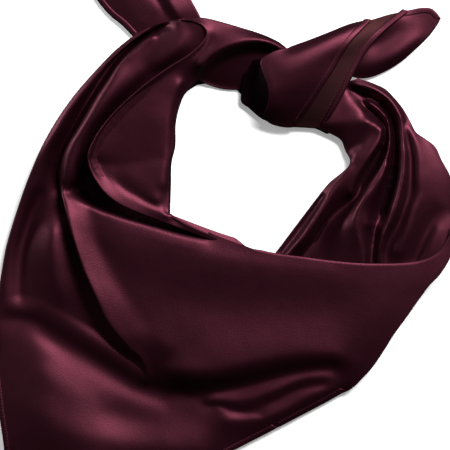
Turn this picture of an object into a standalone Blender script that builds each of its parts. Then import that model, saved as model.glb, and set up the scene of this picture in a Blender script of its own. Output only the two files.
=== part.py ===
"""Satin square scarf, folded to a triangle, knotted into a ring and laid flat.

Places are in millimetres on the surface that the scarf lies on: "across" runs to the right and
"down" runs towards the front point. Heights are in millimetres above that surface.
"""

from collections import namedtuple

import bmesh
import bpy
import numpy as np

MM = 0.001

# Driving dimensions, in millimetres
WALL = 1.6
STEEP_WALL_LIMIT = 6.0
SEAM_SETBACK = 0.25
PLY_GAP = 0.5
LAPPED_PLY_GAP = 1.3
FLOOR_GAP = 0.3
EDGE_LOOP = 3.0
LAYOUT_MIDDLE = (223.0, 248.0)
LAYOUT_BOX = (-30.0, -80.0, 475.0, 580.0)

# The hidden layers under the ring, in millimetres; they fill a share of the height over them
UNDER_RIM = 1.6
UNDER_FLOOR = 2.6
UNDER_MARGIN = 14.0
UNDER_EDGE_MARGIN = 3.0
OVER_TAIL_FLOOR = 5.6
TAIL_MARGIN = 9.0
UNDER_SHARE = 0.66
UNDER_DROP = 5.5
UNDER_REACH = 7.0
UNDER_RISE = 0.35
UNDER_CELLS_ROUND = 74
UNDER_CELLS_OVER = 8

# The cloth between its folds is relaxed on a grid, coarse to fine
FIELD_PITCH = 2.5
COARSEST_PITCH = 20.0
FIELD_SOFTNESS = 1.1
RELAX_PASSES = 90
RELAX_RATE = 1.85
SLOPE_REACH = 2.0
CURVE_STEP = 1.0

SATIN = (0.030, 0.006, 0.013)
SATIN_DEEP = (0.018, 0.003, 0.008)
SATIN_WARM = (0.040, 0.012, 0.015)
SATIN_ROUGHNESS = 0.38

COLLECTION_NAME = "satin_scarf"

Fold = namedtuple("Fold", "name across down height")
Line = namedtuple("Line", "name cells across down")
Patch = namedtuple("Patch", "name folds near far start end rolled")

# Folds of the front, the left side and the back: one row for each crest, valley and edge
FRONT_FOLDS = (
    Fold("outer edge", (181, 165, 150, 133, 118, 80, 40, 15, 0, -8, -4, 2, 12, 21),
         (19, 22, 27, 37, 49, 88, 150, 213, 272, 350, 400, 440, 515, 558),
         (22, 19, 17, 15, 7, 5, 5, 5, 5, 4.5, 4.2, 4.2, 4.2, 4.2)),
    Fold("outer crest", (165, 135, 105, 80, 58, 45, 33, 21, 12, 9, 5, 4, 8),
         (24, 38.5, 68, 99, 131, 157, 182, 209, 242, 290, 330, 370, 410),
         (24, 23, 22, 22, 21, 20, 19, 17, 14, 12, 10, 9, 8)),
    Fold("outer valley", (178, 165, 150, 136, 122, 108, 99, 82, 64, 57, 54, 53, 58, 66),
         (22, 26.5, 32, 40, 51, 64, 76, 106, 138, 152, 170, 190, 214, 234),
         (20, 13, 11, 9, 8, 7, 7, 6, 6, 6, 6, 6, 6, 7)),
    Fold("left hollow", (34, 33, 38, 52), (205, 250, 300, 328), (6, 5, 5, 6)),
    Fold("hollow ridge", (50, 66, 80), (229, 250, 270), (8, 11, 13)),
    Fold("hollow second ridge", (62, 80, 99), (292, 301, 314), (8, 10, 11)),
    Fold("cross valley", (12, 30, 48, 80, 115, 150, 190, 240, 265),
         (319, 321, 331, 351, 373, 388, 399, 412, 417),
         (7, 6, 5, 5, 5, 5, 6.5, 10, 12)),
    Fold("side groove", (22, 21, 23, 30), (328, 352, 382, 410), (6, 7, 8.5, 10.5)),
    Fold("lower rise", (28, 50, 80, 110, 150, 190, 230, 262),
         (343, 363, 383, 394, 404, 414, 422, 425), (11, 13.5, 14.5, 14.5, 15, 15, 14.5, 13)),
    Fold("lower crest", (40, 70, 105, 150, 190, 225), (387, 411, 427, 441, 446, 444),
         (16.5, 18, 19, 19, 17, 12)),
    Fold("point ridge", (70, 55, 40, 27), (455, 495, 525, 546), (15, 11, 8, 5.5)),
    Fold("front hem", (345, 330, 300, 275, 238, 150, 80, 21),
         (391.5, 400, 416, 429, 449, 493, 529, 558), (5.5, 5, 4.6, 4.4, 4.2, 4.2, 4.2, 4.2)),
    Fold("middle crest", (154, 141, 125, 112, 100, 90, 82, 77, 75),
         (40, 61, 80, 97, 113, 128, 143, 158, 172), (17, 22, 25, 26, 27, 28, 28, 28, 28)),
    Fold("middle lip", (70, 64, 61, 61), (137, 150, 166, 182), (18, 16, 15, 16)),
    Fold("panel left edge", (61, 66, 74, 84, 96, 108, 128, 141, 146, 142),
         (190, 212, 240, 270, 297, 322, 345, 358, 370, 386),
         (17, 18, 18, 17, 15.5, 14, 12, 10, 9, 6.5)),
    Fold("panel shoulder", (73, 83, 88, 96, 109, 123, 139, 152, 158),
         (190, 212, 240, 268, 292, 318, 338, 352, 368),
         (28, 28.5, 28, 26, 24.5, 23, 21, 18, 13)),
    Fold("panel crest", (90, 110, 140, 170, 200, 240, 275, 330, 380, 415, 433),
         (213, 223, 235, 244, 250, 258, 263, 270, 273, 271, 263),
         (29.5, 29.5, 29, 29, 28.5, 29, 30, 29, 27, 25, 22)),
    Fold("panel trough", (95, 125, 170, 220, 260, 300, 340, 370),
         (258, 264, 292, 303, 311, 322, 340, 350), (25, 22.5, 19.5, 18.5, 18, 17, 15.5, 13)),
    Fold("panel low crest", (150, 185, 220, 260, 300, 335), (346, 356, 354, 349, 343, 345),
         (22, 22.5, 22, 21, 19, 16.5)),
    Fold("panel foot", (160, 185, 215, 250, 280, 310, 335), (385, 391, 390, 382, 374, 366, 364),
         (7, 8, 9, 10.5, 11.5, 12.5, 13)),
    Fold("corner ridge", (210, 245, 270, 295, 320, 345), (399, 399, 391, 381, 377, 384),
         (11, 13, 14, 14, 13.5, 11)),
    Fold("corner groove", (225, 255, 275, 300, 325), (407, 410, 401, 388, 383),
         (9, 9.5, 9.5, 9.5, 10)),
    Fold("corner lower ridge", (266, 285, 305, 325, 343), (417, 411, 399, 391, 388.5),
         (12.5, 13, 12.5, 11.5, 9)),
    Fold("right edge", (352, 360, 383, 410, 437, 450, 454.5), (388, 380, 350, 308, 268, 250, 232),
         (5.5, 5.5, 6, 6, 6, 6, 7)),
    Fold("right shoulder", (359, 385, 411, 429), (368, 328, 290, 269), (13, 15, 16, 17)),
    Fold("panel top edge", (78, 100, 130, 160, 200, 222), (193, 206, 220, 230, 240, 246),
         (22, 19, 18, 18, 20, 24)),
    Fold("panel lap edge", (285, 300, 330, 380, 415, 434, 447, 450),
         (255.5, 257, 261, 264, 262, 255, 241, 228), (23, 25, 25, 23.5, 22, 21, 19, 18)),
    Fold("inner valley", (164, 148, 127, 106, 90, 85, 87, 98, 120, 160, 205),
         (68, 80, 97, 118, 139, 162, 178, 196, 211, 227, 241.5),
         (18, 12, 10, 9, 8, 8, 8, 9, 11, 14, 19)),
    Fold("inner loop", (181, 192, 201, 204, 200, 190, 175, 145), (20.5, 22, 27, 34, 44, 54, 65, 85.5),
         (25, 30, 33, 34, 34, 34, 34, 34)),
    Fold("inner crest", (145, 117, 97, 89.5, 91, 104, 125, 155, 190, 240, 262),
         (85.5, 109, 134, 158, 171, 187, 202, 213, 229, 249, 256),
         (34, 34, 34, 33, 32, 31, 30, 28.5, 27, 27, 29)),
    Fold("pocket floor", (170, 161, 157), (30, 43, 60), (13, 10, 10)),
    Fold("inner hollow", (172, 150, 135, 148, 158), (90, 112, 140, 160, 190), (26, 26, 26, 25, 23)),
    Fold("inner crease", (114, 119, 132, 148, 163), (172, 182, 191, 201, 212),
         (27, 25, 24, 23, 21)),
    Fold("neck edge", (197, 183, 174, 173, 169, 168, 180, 200, 225, 250, 264, 274),
         (79, 93, 122, 148, 185, 215, 222, 232, 241, 250, 252, 253.5),
         (6, 5, 5, 5, 5, 6, 6, 6, 6, 6, 7, 12)),
    Fold("neck shoulder", (192, 178, 168, 166, 163), (80, 98, 122, 150, 188), (18, 19, 19, 18, 18)),
    Fold("back top edge", (200, 225, 255, 278, 290), (18.5, 24, 33, 43, 54), (14, 12, 11, 10, 9)),
    Fold("back rise", (212, 240, 268), (27, 34, 42), (26, 22, 18)),
    Fold("back crest", (200, 207, 218, 232, 246, 262, 280), (75, 66, 57, 49, 45, 44, 49),
         (20, 26, 29, 28, 26, 23, 17)),
    Fold("back foot", (201, 210, 222, 240, 256), (81, 84.5, 88, 89.5, 92), (5, 4.5, 4.5, 4.5, 5)),
)

# Folds of the fan that runs from the knot down the right side
FAN_FOLDS = (
    Fold("fan top edge", (318, 338, 356, 375, 393, 410, 425, 441, 450, 451),
         (98, 85, 78, 84, 97, 122, 139, 160, 177, 215), (6, 6, 6, 6, 6, 6, 6, 6, 6, 6)),
    Fold("fan inner edge", (316, 330, 341, 350), (126, 133, 140, 160), (5, 5, 5, 5)),
    Fold("fan lower edge", (350, 328, 300, 275, 264), (160, 184, 220, 253, 267), (5, 5, 5, 5, 5)),
    Fold("facet foot", (324, 331, 339, 348), (126, 116, 105, 92), (5.5, 7, 9, 10)),
    Fold("facet crest", (330, 345, 362, 379), (127, 126, 121.5, 122), (8, 13, 17, 20)),
    Fold("facet rim", (350, 365, 377), (96, 107, 117), (12, 17, 20)),
    Fold("facet hollow", (345, 353), (144, 155), (7, 8)),
    Fold("edge roll", (352, 330, 303, 280), (163.5, 187, 221, 251), (12, 13, 13, 13)),
    Fold("edge groove", (342, 325, 306, 290), (178, 200, 225, 247), (11.5, 10.5, 10, 10)),
    Fold("hook ridge", (382, 379, 366, 352, 338, 325, 311, 296, 288),
         (127, 137, 149, 168, 190, 207, 227, 249, 266), (20, 20, 19, 19, 18, 17, 16, 15, 13)),
    Fold("first valley", (356, 372, 385, 384, 376, 368, 363, 355, 335, 314, 303, 298),
         (98, 111, 125, 143, 157, 171, 184, 199, 213, 238, 252, 268),
         (9, 10, 9, 7, 6, 5, 5, 6, 5, 5, 5, 5)),
    Fold("second ridge", (363, 380, 389, 389, 381, 363, 348),
         (101.5, 112, 126, 148, 172, 196, 211), (17, 20, 20, 20, 19, 17, 13)),
    Fold("lap facet", (358, 362, 366, 367), (208, 226, 246, 268), (15, 17, 17, 15)),
    Fold("lap hollow", (335, 338), (240, 262), (10, 9)),
    Fold("second valley", (352, 378, 389, 395, 394, 388, 380, 374, 373),
         (91, 101, 115, 138, 165, 195, 225, 248, 268), (7, 6, 5, 5, 5, 5, 5, 5, 5)),
    Fold("third ridge", (352, 375, 386, 396, 400, 402, 397, 387, 379, 377),
         (85, 90.5, 98, 112, 135, 165, 195, 220, 245, 268),
         (15, 18, 20, 20, 20, 20, 19, 18, 17, 15)),
    Fold("outer groove", (402, 408, 410, 413), (115, 145, 175, 189), (15, 15, 15, 15)),
    Fold("outer face", (411, 420, 432, 443), (130, 155, 172, 190), (16, 17, 15, 13)),
    Fold("turn shadow", (413, 430, 445), (192, 197, 207), (13, 12, 11)),
    Fold("turn band", (410, 414, 408), (212, 232, 258), (14, 14, 13)),
    Fold("turn groove", (428, 427, 418), (214, 240, 264), (10, 9, 9)),
    Fold("turn roll", (442, 441, 432), (216, 232, 252), (13, 12.5, 12)),
)

# Folds of the tied end at the right: heights of its second ply, and the first lies on that
TIED_FOLDS = (
    Fold("tied top edge", (285, 310, 330, 350, 370, 390, 408), (49, 40, 32, 24, 19.5, 13.5, 10.5),
         (19, 16, 13, 11, 10, 9, 8.5)),
    Fold("tied crest", (276, 300, 322, 345, 362, 385), (84, 80, 62, 42, 30, 20),
         (33, 35, 31, 25, 20, 13)),
    Fold("tied left edge", (259, 265, 267, 262), (63, 80, 96, 113), (28, 30, 29, 23)),
    Fold("tied bottom", (262, 275, 290, 310, 323), (119, 124.5, 127, 127, 128), (10, 8, 6.8, 6.0, 7.4)),
    Fold("tied hem", (331, 339, 346, 352, 360, 370, 381, 394, 408),
         (114, 100, 86, 74, 60, 46, 33, 21, 11), (14, 16, 17, 17, 16.5, 15.5, 13.5, 11.5, 9.5)),
)

LEAF_FOLDS = (
    Fold("leaf top edge", (396, 410, 428, 440), (12, 8.5, 7.5, 17), (4.5, 4.2, 4.2, 4.2)),
    Fold("leaf lower edge", (440, 430, 415, 400, 385, 370, 352), (18, 33, 48, 61, 70, 76, 77),
         (4.2, 4.2, 4.2, 4.2, 4.2, 4.5, 5)),
    Fold("leaf root", (344, 352, 362, 374, 388, 400), (68, 58, 46, 34, 22, 14),
         (9, 10, 10, 10.5, 9.8, 7.4)),
    Fold("leaf hollow", (372, 392, 412), (46, 36, 22), (8, 7, 6)),
    Fold("leaf crest", (360, 380, 400, 416), (69, 63, 52, 38), (9, 10.5, 10, 7.5)),
)

LEFT_TAIL_FOLDS = (
    Fold("tail hem", (88, 85, 90, 97, 110, 133), (-62, -25, -10, 0, 15, 36),
         (4.2, 4.2, 4.2, 4.2, 4.4, 4.4)),
    Fold("tail outer fold", (88, 120, 150, 180, 190, 201), (-62, -58, -45, -20, 0, 20),
         (4.2, 4.2, 4.3, 4.5, 4.5, 4.4)),
    Fold("tail left crest", (98, 112, 128, 143), (-40, -18, 4, 22), (7, 8.5, 9, 7)),
    Fold("tail valley", (130, 148, 162, 172), (-38, -18, 2, 17), (6, 6, 6, 5.5)),
    Fold("tail right crest", (140, 162, 178, 187), (-42, -22, 2, 13), (7, 9, 10, 8)),
    Fold("tail root", (134, 150, 166, 181, 201), (38, 29.5, 24.5, 21, 20.5),
         (4.3, 4.3, 4.3, 4.3, 4.3)),
)

CORE_FOLDS = (
    Fold("core left", (252, 247, 244, 245), (63, 76, 91, 104), (9, 8, 6, 5)),
    Fold("core foot", (245, 262, 282), (105, 119, 126), (5, 4.5, 4.5)),
    Fold("core crest", (262, 272, 276), (66, 84, 104), (20, 23, 19)),
)

# Seams and outer edges that bound the pieces, each one shared by the pieces that meet there
LINES = (
    Line("outer outline", 30,
         (181, 165, 150, 133, 116, 100, 80, 60, 40, 27, 15, 4, 0, -5, -6.5),
         (18.7, 22, 27, 36.5, 50, 66, 88, 115, 150, 180, 213, 250, 272, 305, 325)),
    Line("outer start", 8, (181, 181), (18.7, 20.5)),
    Line("outer seam", 16, (181, 165, 150, 136, 122, 108, 99, 90, 82, 74, 64, 57.5, 56, 60),
         (20.5, 26, 31.5, 39.5, 50.5, 63.5, 75.5, 92, 106, 121, 138, 151, 170, 190)),
    Line("panel seam", 14, (60, 66, 74, 84, 96, 108, 128, 141, 145, 141),
         (190, 212, 240, 270, 297, 322, 346, 359, 372, 386.5)),
    Line("cross seam start", 8, (-6.5, 12, 30, 48, 80, 115, 141),
         (325, 320, 321.5, 331, 351, 374, 386.5)),
    Line("cross seam end", 16, (141, 170, 205, 240, 262, 276), (386.5, 394.5, 404, 412, 417.5, 428.5)),
    Line("loop start", 1, (181, 181), (18.7, 20.5)),
    Line("loop seam", 6, (181, 192, 201, 204.5), (20.5, 22, 27, 36)),
    Line("pocket seam", 5, (204.5, 200, 190, 180, 168), (36, 44, 53.5, 61, 68)),
    Line("inner seam", 11, (168, 148, 127, 106, 90, 85, 84), (68, 80, 97, 118, 139, 162, 178)),
    Line("inner seam end", 9, (84, 90, 106, 125, 160, 205, 240, 253),
         (178, 187.5, 201.5, 213, 227.5, 241.5, 250, 252.8)),
    Line("corner seam", 6, (60, 70, 84), (190, 184, 178)),
    Line("back seam", 7, (204.5, 203, 197), (36, 58, 79)),
    Line("neck outline", 15, (197, 183, 178, 174, 173, 170, 169, 168),
         (79, 93, 105, 122, 148, 160, 185, 214)),
    Line("neck outline end", 10, (168, 180, 200, 225, 253), (214, 221.5, 231.5, 241, 250.5)),
    Line("neck notch", 7, (253, 253), (252.8, 250.5)),
    Line("panel top outline", 11, (253, 275, 300, 330, 350, 380, 400, 415, 430, 440, 447, 450.5),
         (252.8, 253.7, 257, 261, 263, 264, 263.5, 262, 257, 250, 240, 226)),
    Line("right outline", 14, (450.5, 454, 446, 437, 425, 410, 395, 383, 370, 360, 352, 345),
         (226, 238, 258, 268, 285, 308, 330, 350, 369, 380, 388, 391.5)),
    Line("hem outline", 10, (276, 300, 330, 345), (428.5, 416, 400, 391.5)),
    Line("lower left outline", 9, (-6.5, -8, -4, 2, 6, 12, 21), (325, 350, 400, 440, 475, 515, 558)),
    Line("point hem", 24, (21, 80, 150), (558, 529, 493)),
    Line("lower hem", 9, (276, 238, 150), (428.5, 448, 493)),
    Line("back outline", 9, (181, 200, 225, 240, 255, 268, 278, 286, 292),
         (18.7, 18.4, 24, 28.5, 33, 38, 43, 49.5, 57)),
    Line("back lower outline", 9, (197, 207, 220, 241.5), (79, 84, 88, 89.5)),
    Line("core seam", 14, (292, 268, 250, 244.5, 241.5), (57, 58, 64, 76, 89.5)),
    Line("fan left outline", 20, (316, 330, 341, 345, 350, 328, 300, 275, 269),
         (127, 133, 140, 150, 160, 184, 220, 253, 261)),
    Line("fan right outline", 20, (357, 375, 385, 393, 402, 410, 415, 425, 434, 441, 450, 448),
         (78, 84, 89, 97, 108, 122, 132, 139, 146, 160, 177, 224)),
    Line("fan start", 22, (316, 322, 336, 357), (127, 100, 86, 78)),
    Line("fan end", 22, (269, 300, 340, 380, 415, 428, 438, 444.5, 448),
         (261, 268, 273, 275, 270, 261, 251, 239.5, 224)),
    Line("wrap top", 10, (285.5, 310, 330, 350, 370), (49, 40, 32, 24, 19.5)),
    Line("wrap left", 9, (285.5, 272, 260, 263, 267, 268, 262), (49, 53, 62, 76, 88, 100, 117)),
    Line("wrap hem", 9, (370, 360, 350, 340, 330, 320, 310, 301, 294),
         (19.5, 30, 41, 56, 73, 88, 104, 116, 127)),
    Line("wrap bottom", 10, (262, 270, 280, 294), (117, 123, 126, 127)),
    Line("band top", 5, (360, 375, 390, 408), (22.5, 18, 13.5, 10.5)),
    Line("band left", 10, (360, 345, 330, 310, 296, 288), (22.5, 36, 58, 88, 110, 126)),
    Line("band hem", 10, (408, 395, 381, 366, 352, 345, 338, 330, 322),
         (10.5, 20.5, 33, 50, 74, 88, 101, 115, 128)),
    Line("band bottom", 5, (288, 305, 322), (126, 126.8, 128)),
    Line("leaf root", 9, (400, 388, 374, 362, 352, 343), (11, 20, 32, 44, 56, 72)),
    Line("leaf lower outline", 9, (441, 430, 415, 400, 385, 370, 357.5),
         (17.5, 33, 48, 61, 70, 76, 77.8)),
    Line("leaf top outline", 7, (400, 410, 420, 431, 441), (11, 9.5, 7.5, 8, 17.5)),
    Line("leaf bottom", 7, (343, 349, 357.5), (72, 75.3, 77.8)),
    Line("tail left outline", 9, (88, 85, 97, 110, 120, 134.5), (-62, -25, 0, 15, 23, 38)),
    Line("tail right outline", 9, (124, 150, 180, 190, 195, 201), (-57, -45, -20, 0, 9, 20.5)),
    Line("tail start", 9, (88, 106, 124), (-62, -61, -57)),
    Line("tail end", 9, (134.5, 150, 166, 181, 201), (38, 29.5, 24.5, 21, 20.5)),
    Line("core left", 6, (252, 247.5, 245, 242.5, 246), (65, 77, 91, 103, 106)),
    Line("core right", 6, (272, 280, 283, 283, 282), (60, 72, 88, 104, 125)),
    Line("core start", 5, (252, 260, 272), (65, 61, 60)),
    Line("core bottom", 5, (246, 262, 282), (106, 119, 125)),
)

# Round the hidden layers: their places on the neck side and their places on the outer side
UNDER_NECK_SIDE = Line(
    "neck side", UNDER_CELLS_ROUND,
    (268, 246, 214, 188, 168, 163, 164, 166, 169, 170, 172, 176, 185, 196, 212, 232, 247, 262, 280, 302,
     322, 338, 344, 338, 326, 314, 304, 296, 286, 277, 268),
    (261, 256, 244, 233, 222, 206, 186, 166, 147, 132, 118, 105, 91, 84, 82, 85, 101, 113, 121, 123,
     131, 142, 160, 177, 191, 206, 220, 232, 246, 257, 261))
UNDER_OUTER_SIDE = Line(
    "outer side", UNDER_CELLS_ROUND,
    (330, 238, 140, 26, 12, 3, 0, 11, 26, 42, 62, 88, 114, 138, 168, 200, 228, 254, 276, 298,
     322, 336, 360, 383, 402, 416, 433, 444, 436, 396, 330),
    (397, 446, 495, 552, 505, 440, 345, 258, 205, 166, 126, 91, 64, 46, 34, 29, 34, 42, 52, 58,
     64, 84, 86, 95, 114, 139, 154, 182, 262, 322, 397))

# The visible stretches: what bounds each one, and which sides roll down to the surface
RING_PATCHES = (
    Patch("left_outer_fold", FRONT_FOLDS, ("outer outline",), ("outer seam", "panel seam"),
          ("outer start",), ("cross seam start",), ("near",)),
    Patch("left_middle_fold", FRONT_FOLDS, ("outer seam",), ("pocket seam", "inner seam"),
          ("loop seam",), ("corner seam",), ()),
    Patch("front_panel", FRONT_FOLDS, ("panel seam",), ("right outline",),
          ("corner seam", "inner seam end", "panel top outline"),
          ("cross seam end", "hem outline"), ("far",)),
    Patch("lower_front", FRONT_FOLDS, ("cross seam start", "cross seam end"), ("point hem",),
          ("lower left outline",), ("lower hem",), ()),
    Patch("left_inner_fold", FRONT_FOLDS, ("neck outline", "neck outline end"),
          ("pocket seam", "inner seam", "inner seam end"), ("back seam",), ("neck notch",),
          ("near",)),
    Patch("back_stretch", FRONT_FOLDS, ("back outline",), ("back lower outline",),
          ("loop start", "loop seam", "back seam"), ("core seam",), ("near", "far")),
    Patch("right_stretch", FAN_FOLDS, ("fan left outline",), ("fan right outline",),
          ("fan start",), ("fan end",), ("near", "far")),
    Patch("knot_core", CORE_FOLDS, ("core left",), ("core right",), ("core start",),
          ("core bottom",), ("near",)),
)
BAND_PATCH = Patch("right_tail_second_ply", TIED_FOLDS, ("band left",), ("band hem",),
                   ("band top",), ("band bottom",), ())
WRAP_PATCH = Patch("right_tail_upper_ply", TIED_FOLDS, ("wrap top",), ("wrap bottom",),
                   ("wrap left",), ("wrap hem",), ())
LEAF_PATCH = Patch("right_tail_leaf", LEAF_FOLDS, ("leaf root",), ("leaf lower outline",),
                   ("leaf top outline",), ("leaf bottom",), ())
LEFT_TAIL_PATCH = Patch("left_tail", LEFT_TAIL_FOLDS, ("tail left outline",),
                        ("tail right outline",), ("tail start",), ("tail end",), ())


def clear_scene():
    """Remove what the new file holds."""
    for old in list(bpy.data.objects):
        bpy.data.objects.remove(old, do_unlink=True)


def satin_material(name, colour):
    """Plain satin in one colour."""
    material = bpy.data.materials.new(name)
    material.use_nodes = True
    shader = material.node_tree.nodes["Principled BSDF"]
    shader.inputs["Base Color"].default_value = (*colour, 1.0)
    shader.inputs["Roughness"].default_value = SATIN_ROUGHNESS
    shader.inputs["Metallic"].default_value = 0.0
    material.diffuse_color = (*colour, 1.0)
    return material


def smooth_run(points):
    """Points along a smooth curve through the given ones, about CURVE_STEP apart."""
    points = np.asarray(points, dtype=float)
    spans = np.linalg.norm(np.diff(points[:, :2], axis=0), axis=1)
    rates = np.diff(points, axis=0) / spans[:, None]
    tangents = np.empty_like(points)
    tangents[0] = rates[0]
    tangents[-1] = rates[-1]
    before = spans[:-1, None]
    after = spans[1:, None]
    tangents[1:-1] = (rates[:-1] * after + rates[1:] * before) / (before + after)
    pieces = []
    for index, span in enumerate(spans):
        count = max(2, int(np.ceil(span / CURVE_STEP)))
        t = np.linspace(0.0, 1.0, count, endpoint=False)[:, None]
        pieces.append(
            (2 * t**3 - 3 * t**2 + 1) * points[index]
            + (t**3 - 2 * t**2 + t) * span * tangents[index]
            + (3 * t**2 - 2 * t**3) * points[index + 1]
            + (t**3 - t**2) * span * tangents[index + 1]
        )
    pieces.append(points[-1:])
    return np.vstack(pieces)


def evenly_spaced(line):
    """The line's curve as evenly spaced places, one more than its cells."""
    run = smooth_run(np.column_stack([line.across, line.down]))
    lengths = np.concatenate([[0.0], np.cumsum(np.linalg.norm(np.diff(run, axis=0), axis=1))])
    wanted = np.linspace(0.0, lengths[-1], line.cells + 1)
    return np.column_stack([np.interp(wanted, lengths, run[:, axis]) for axis in range(2)])


def side_of(names, runs, start):
    """Join the named lines into one side, turning each so that it goes on from the last."""
    side = [np.asarray(start, dtype=float)]
    for name in names:
        run = runs[name]
        if np.linalg.norm(run[-1] - side[-1]) < np.linalg.norm(run[0] - side[-1]):
            run = run[::-1]
        side.extend(run[1:])
    return np.array(side)


class Relief:
    """Height of the cloth drawn taut between its folds, over the layout."""

    def __init__(self, folds):
        self.grid = self.relaxed(folds, FIELD_PITCH)
        self.grid = self.softened(self.grid)

    def relaxed(self, folds, pitch):
        """Heights on a grid, fixed along the folds and level with their neighbours elsewhere."""
        left, top, right, bottom = LAYOUT_BOX
        columns = int(round((right - left) / pitch)) + 1
        rows = int(round((bottom - top) / pitch)) + 1
        total = np.zeros((rows, columns))
        count = np.zeros((rows, columns))
        for fold in folds:
            run = smooth_run(np.column_stack([fold.across, fold.down, fold.height]))
            column = np.clip(np.round((run[:, 0] - left) / pitch).astype(int), 0, columns - 1)
            row = np.clip(np.round((run[:, 1] - top) / pitch).astype(int), 0, rows - 1)
            np.add.at(total, (row, column), run[:, 2])
            np.add.at(count, (row, column), 1.0)
        fixed = count > 0
        if pitch * 2 <= COARSEST_PITCH:
            coarse = self.relaxed(folds, pitch * 2)
            row = np.minimum(np.arange(rows) // 2, coarse.shape[0] - 1)
            column = np.minimum(np.arange(columns) // 2, coarse.shape[1] - 1)
            grid = coarse[np.ix_(row, column)]
        else:
            grid = np.full((rows, columns), total.sum() / count.sum())
        grid[fixed] = total[fixed] / count[fixed]
        parity = np.add.outer(np.arange(rows), np.arange(columns)) % 2
        turns = [(~fixed) & (parity == turn) for turn in (0, 1)]
        for _ in range(RELAX_PASSES):
            for turn in turns:
                edged = np.pad(grid, 1, mode="edge")
                mean = (edged[:-2, 1:-1] + edged[2:, 1:-1] + edged[1:-1, :-2] + edged[1:-1, 2:]) / 4
                grid[turn] += RELAX_RATE * (mean[turn] - grid[turn])
        return grid

    def softened(self, grid):
        """Round the folds a little."""
        reach = int(np.ceil(3 * FIELD_SOFTNESS))
        offsets = np.arange(-reach, reach + 1)
        weights = np.exp(-0.5 * (offsets / FIELD_SOFTNESS) ** 2)
        weights /= weights.sum()
        for axis in (0, 1):
            width = [(0, 0), (0, 0)]
            width[axis] = (reach, reach)
            edged = np.pad(grid, width, mode="edge")
            grid = np.apply_along_axis(np.convolve, axis, edged, weights, mode="valid")
        return grid

    def height(self, places):
        """Height at each place."""
        left, top = LAYOUT_BOX[:2]
        rows, columns = self.grid.shape
        across = np.clip((places[..., 0] - left) / FIELD_PITCH, 0, columns - 1.001)
        down = np.clip((places[..., 1] - top) / FIELD_PITCH, 0, rows - 1.001)
        column = across.astype(int)
        row = down.astype(int)
        u = across - column
        v = down - row
        upper = self.grid[row, column] * (1 - u) + self.grid[row, column + 1] * u
        lower = self.grid[row + 1, column] * (1 - u) + self.grid[row + 1, column + 1] * u
        return upper * (1 - v) + lower * v

    def wall_drop(self, places):
        """How far straight down the wall's inner face lies, more where the cloth stands steep."""
        across = np.array([SLOPE_REACH, 0.0])
        down = np.array([0.0, SLOPE_REACH])
        slope_across = (self.height(places + across) - self.height(places - across)) / (2 * SLOPE_REACH)
        slope_down = (self.height(places + down) - self.height(places - down)) / (2 * SLOPE_REACH)
        drop = WALL * np.sqrt(1 + slope_across**2 + slope_down**2)
        return np.minimum(drop, STEEP_WALL_LIMIT)


def side_net(patch, runs):
    """Places over the patch, blended from its four sides: rows run along, columns run over."""
    first_start = runs[patch.start[0]]
    first_near = runs[patch.near[0]]
    ends = [first_near[0], first_near[-1]]
    gaps = [min(np.linalg.norm(end - first_start[0]), np.linalg.norm(end - first_start[-1])) for end in ends]
    corner = ends[int(np.argmin(gaps))]
    near = side_of(patch.near, runs, corner)
    start = side_of(patch.start, runs, corner)
    far = side_of(patch.far, runs, start[-1])
    end = side_of(patch.end, runs, near[-1])
    along = np.linspace(0.0, 1.0, len(near))[:, None, None]
    over = np.linspace(0.0, 1.0, len(start))[None, :, None]
    ruled_over = (1 - over) * near[:, None, :] + over * far[:, None, :]
    ruled_along = (1 - along) * start[None, :, :] + along * end[None, :, :]
    corners = (
        (1 - along) * ((1 - over) * near[0] + over * far[0])
        + along * ((1 - over) * near[-1] + over * far[-1])
    )
    return ruled_over + ruled_along - corners


def with_edge_loop(net, rolled):
    """Add a loop of places close to each side that rolls down."""
    if "near" in rolled:
        step = net[:, 1] - net[:, 0]
        length = np.maximum(np.linalg.norm(step, axis=1), 1e-6)[:, None]
        loop = net[:, 0] + step * np.minimum(0.45, EDGE_LOOP / length)
        net = np.insert(net, 1, loop, axis=1)
    if "far" in rolled:
        step = net[:, -2] - net[:, -1]
        length = np.maximum(np.linalg.norm(step, axis=1), 1e-6)[:, None]
        loop = net[:, -1] + step * np.minimum(0.45, EDGE_LOOP / length)
        net = np.insert(net, net.shape[1] - 1, loop, axis=1)
    return net


def set_back(net):
    """Draw the border of the net in by half a seam's gap."""
    rows, columns = net.shape[:2]
    row, column = np.meshgrid(np.arange(rows), np.arange(columns), indexing="ij")
    inner = net[np.clip(row, 1, rows - 2), np.clip(column, 1, columns - 2)]
    step = inner - net
    length = np.maximum(np.linalg.norm(step, axis=2), 1e-6)[..., None]
    return net + step * np.minimum(0.3, SEAM_SETBACK / length)


def border_of(net):
    """The net's border as one closed run of places."""
    return np.vstack([net[:-1, 0], net[-1, :-1], net[:0:-1, -1], net[0, :0:-1]])


def inside(places, outline):
    """Whether each place lies inside the outline."""
    flat = places.reshape(-1, 2)
    x, y = flat[:, 0:1], flat[:, 1:2]
    x0, y0 = outline[:, 0], outline[:, 1]
    x1, y1 = np.roll(x0, -1), np.roll(y0, -1)
    rise = np.where(y1 == y0, 1e-9, y1 - y0)
    crosses = ((y0 > y) != (y1 > y)) & (x < (x1 - x0) * (y - y0) / rise + x0)
    return (crosses.sum(axis=1) % 2 == 1).reshape(places.shape[:-1])


def ring_offsets(reach):
    """The place itself and eight places round it."""
    angles = np.arange(8) * np.pi / 4
    return [np.zeros(2)] + [reach * np.array([np.cos(angle), np.sin(angle)]) for angle in angles]


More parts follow.
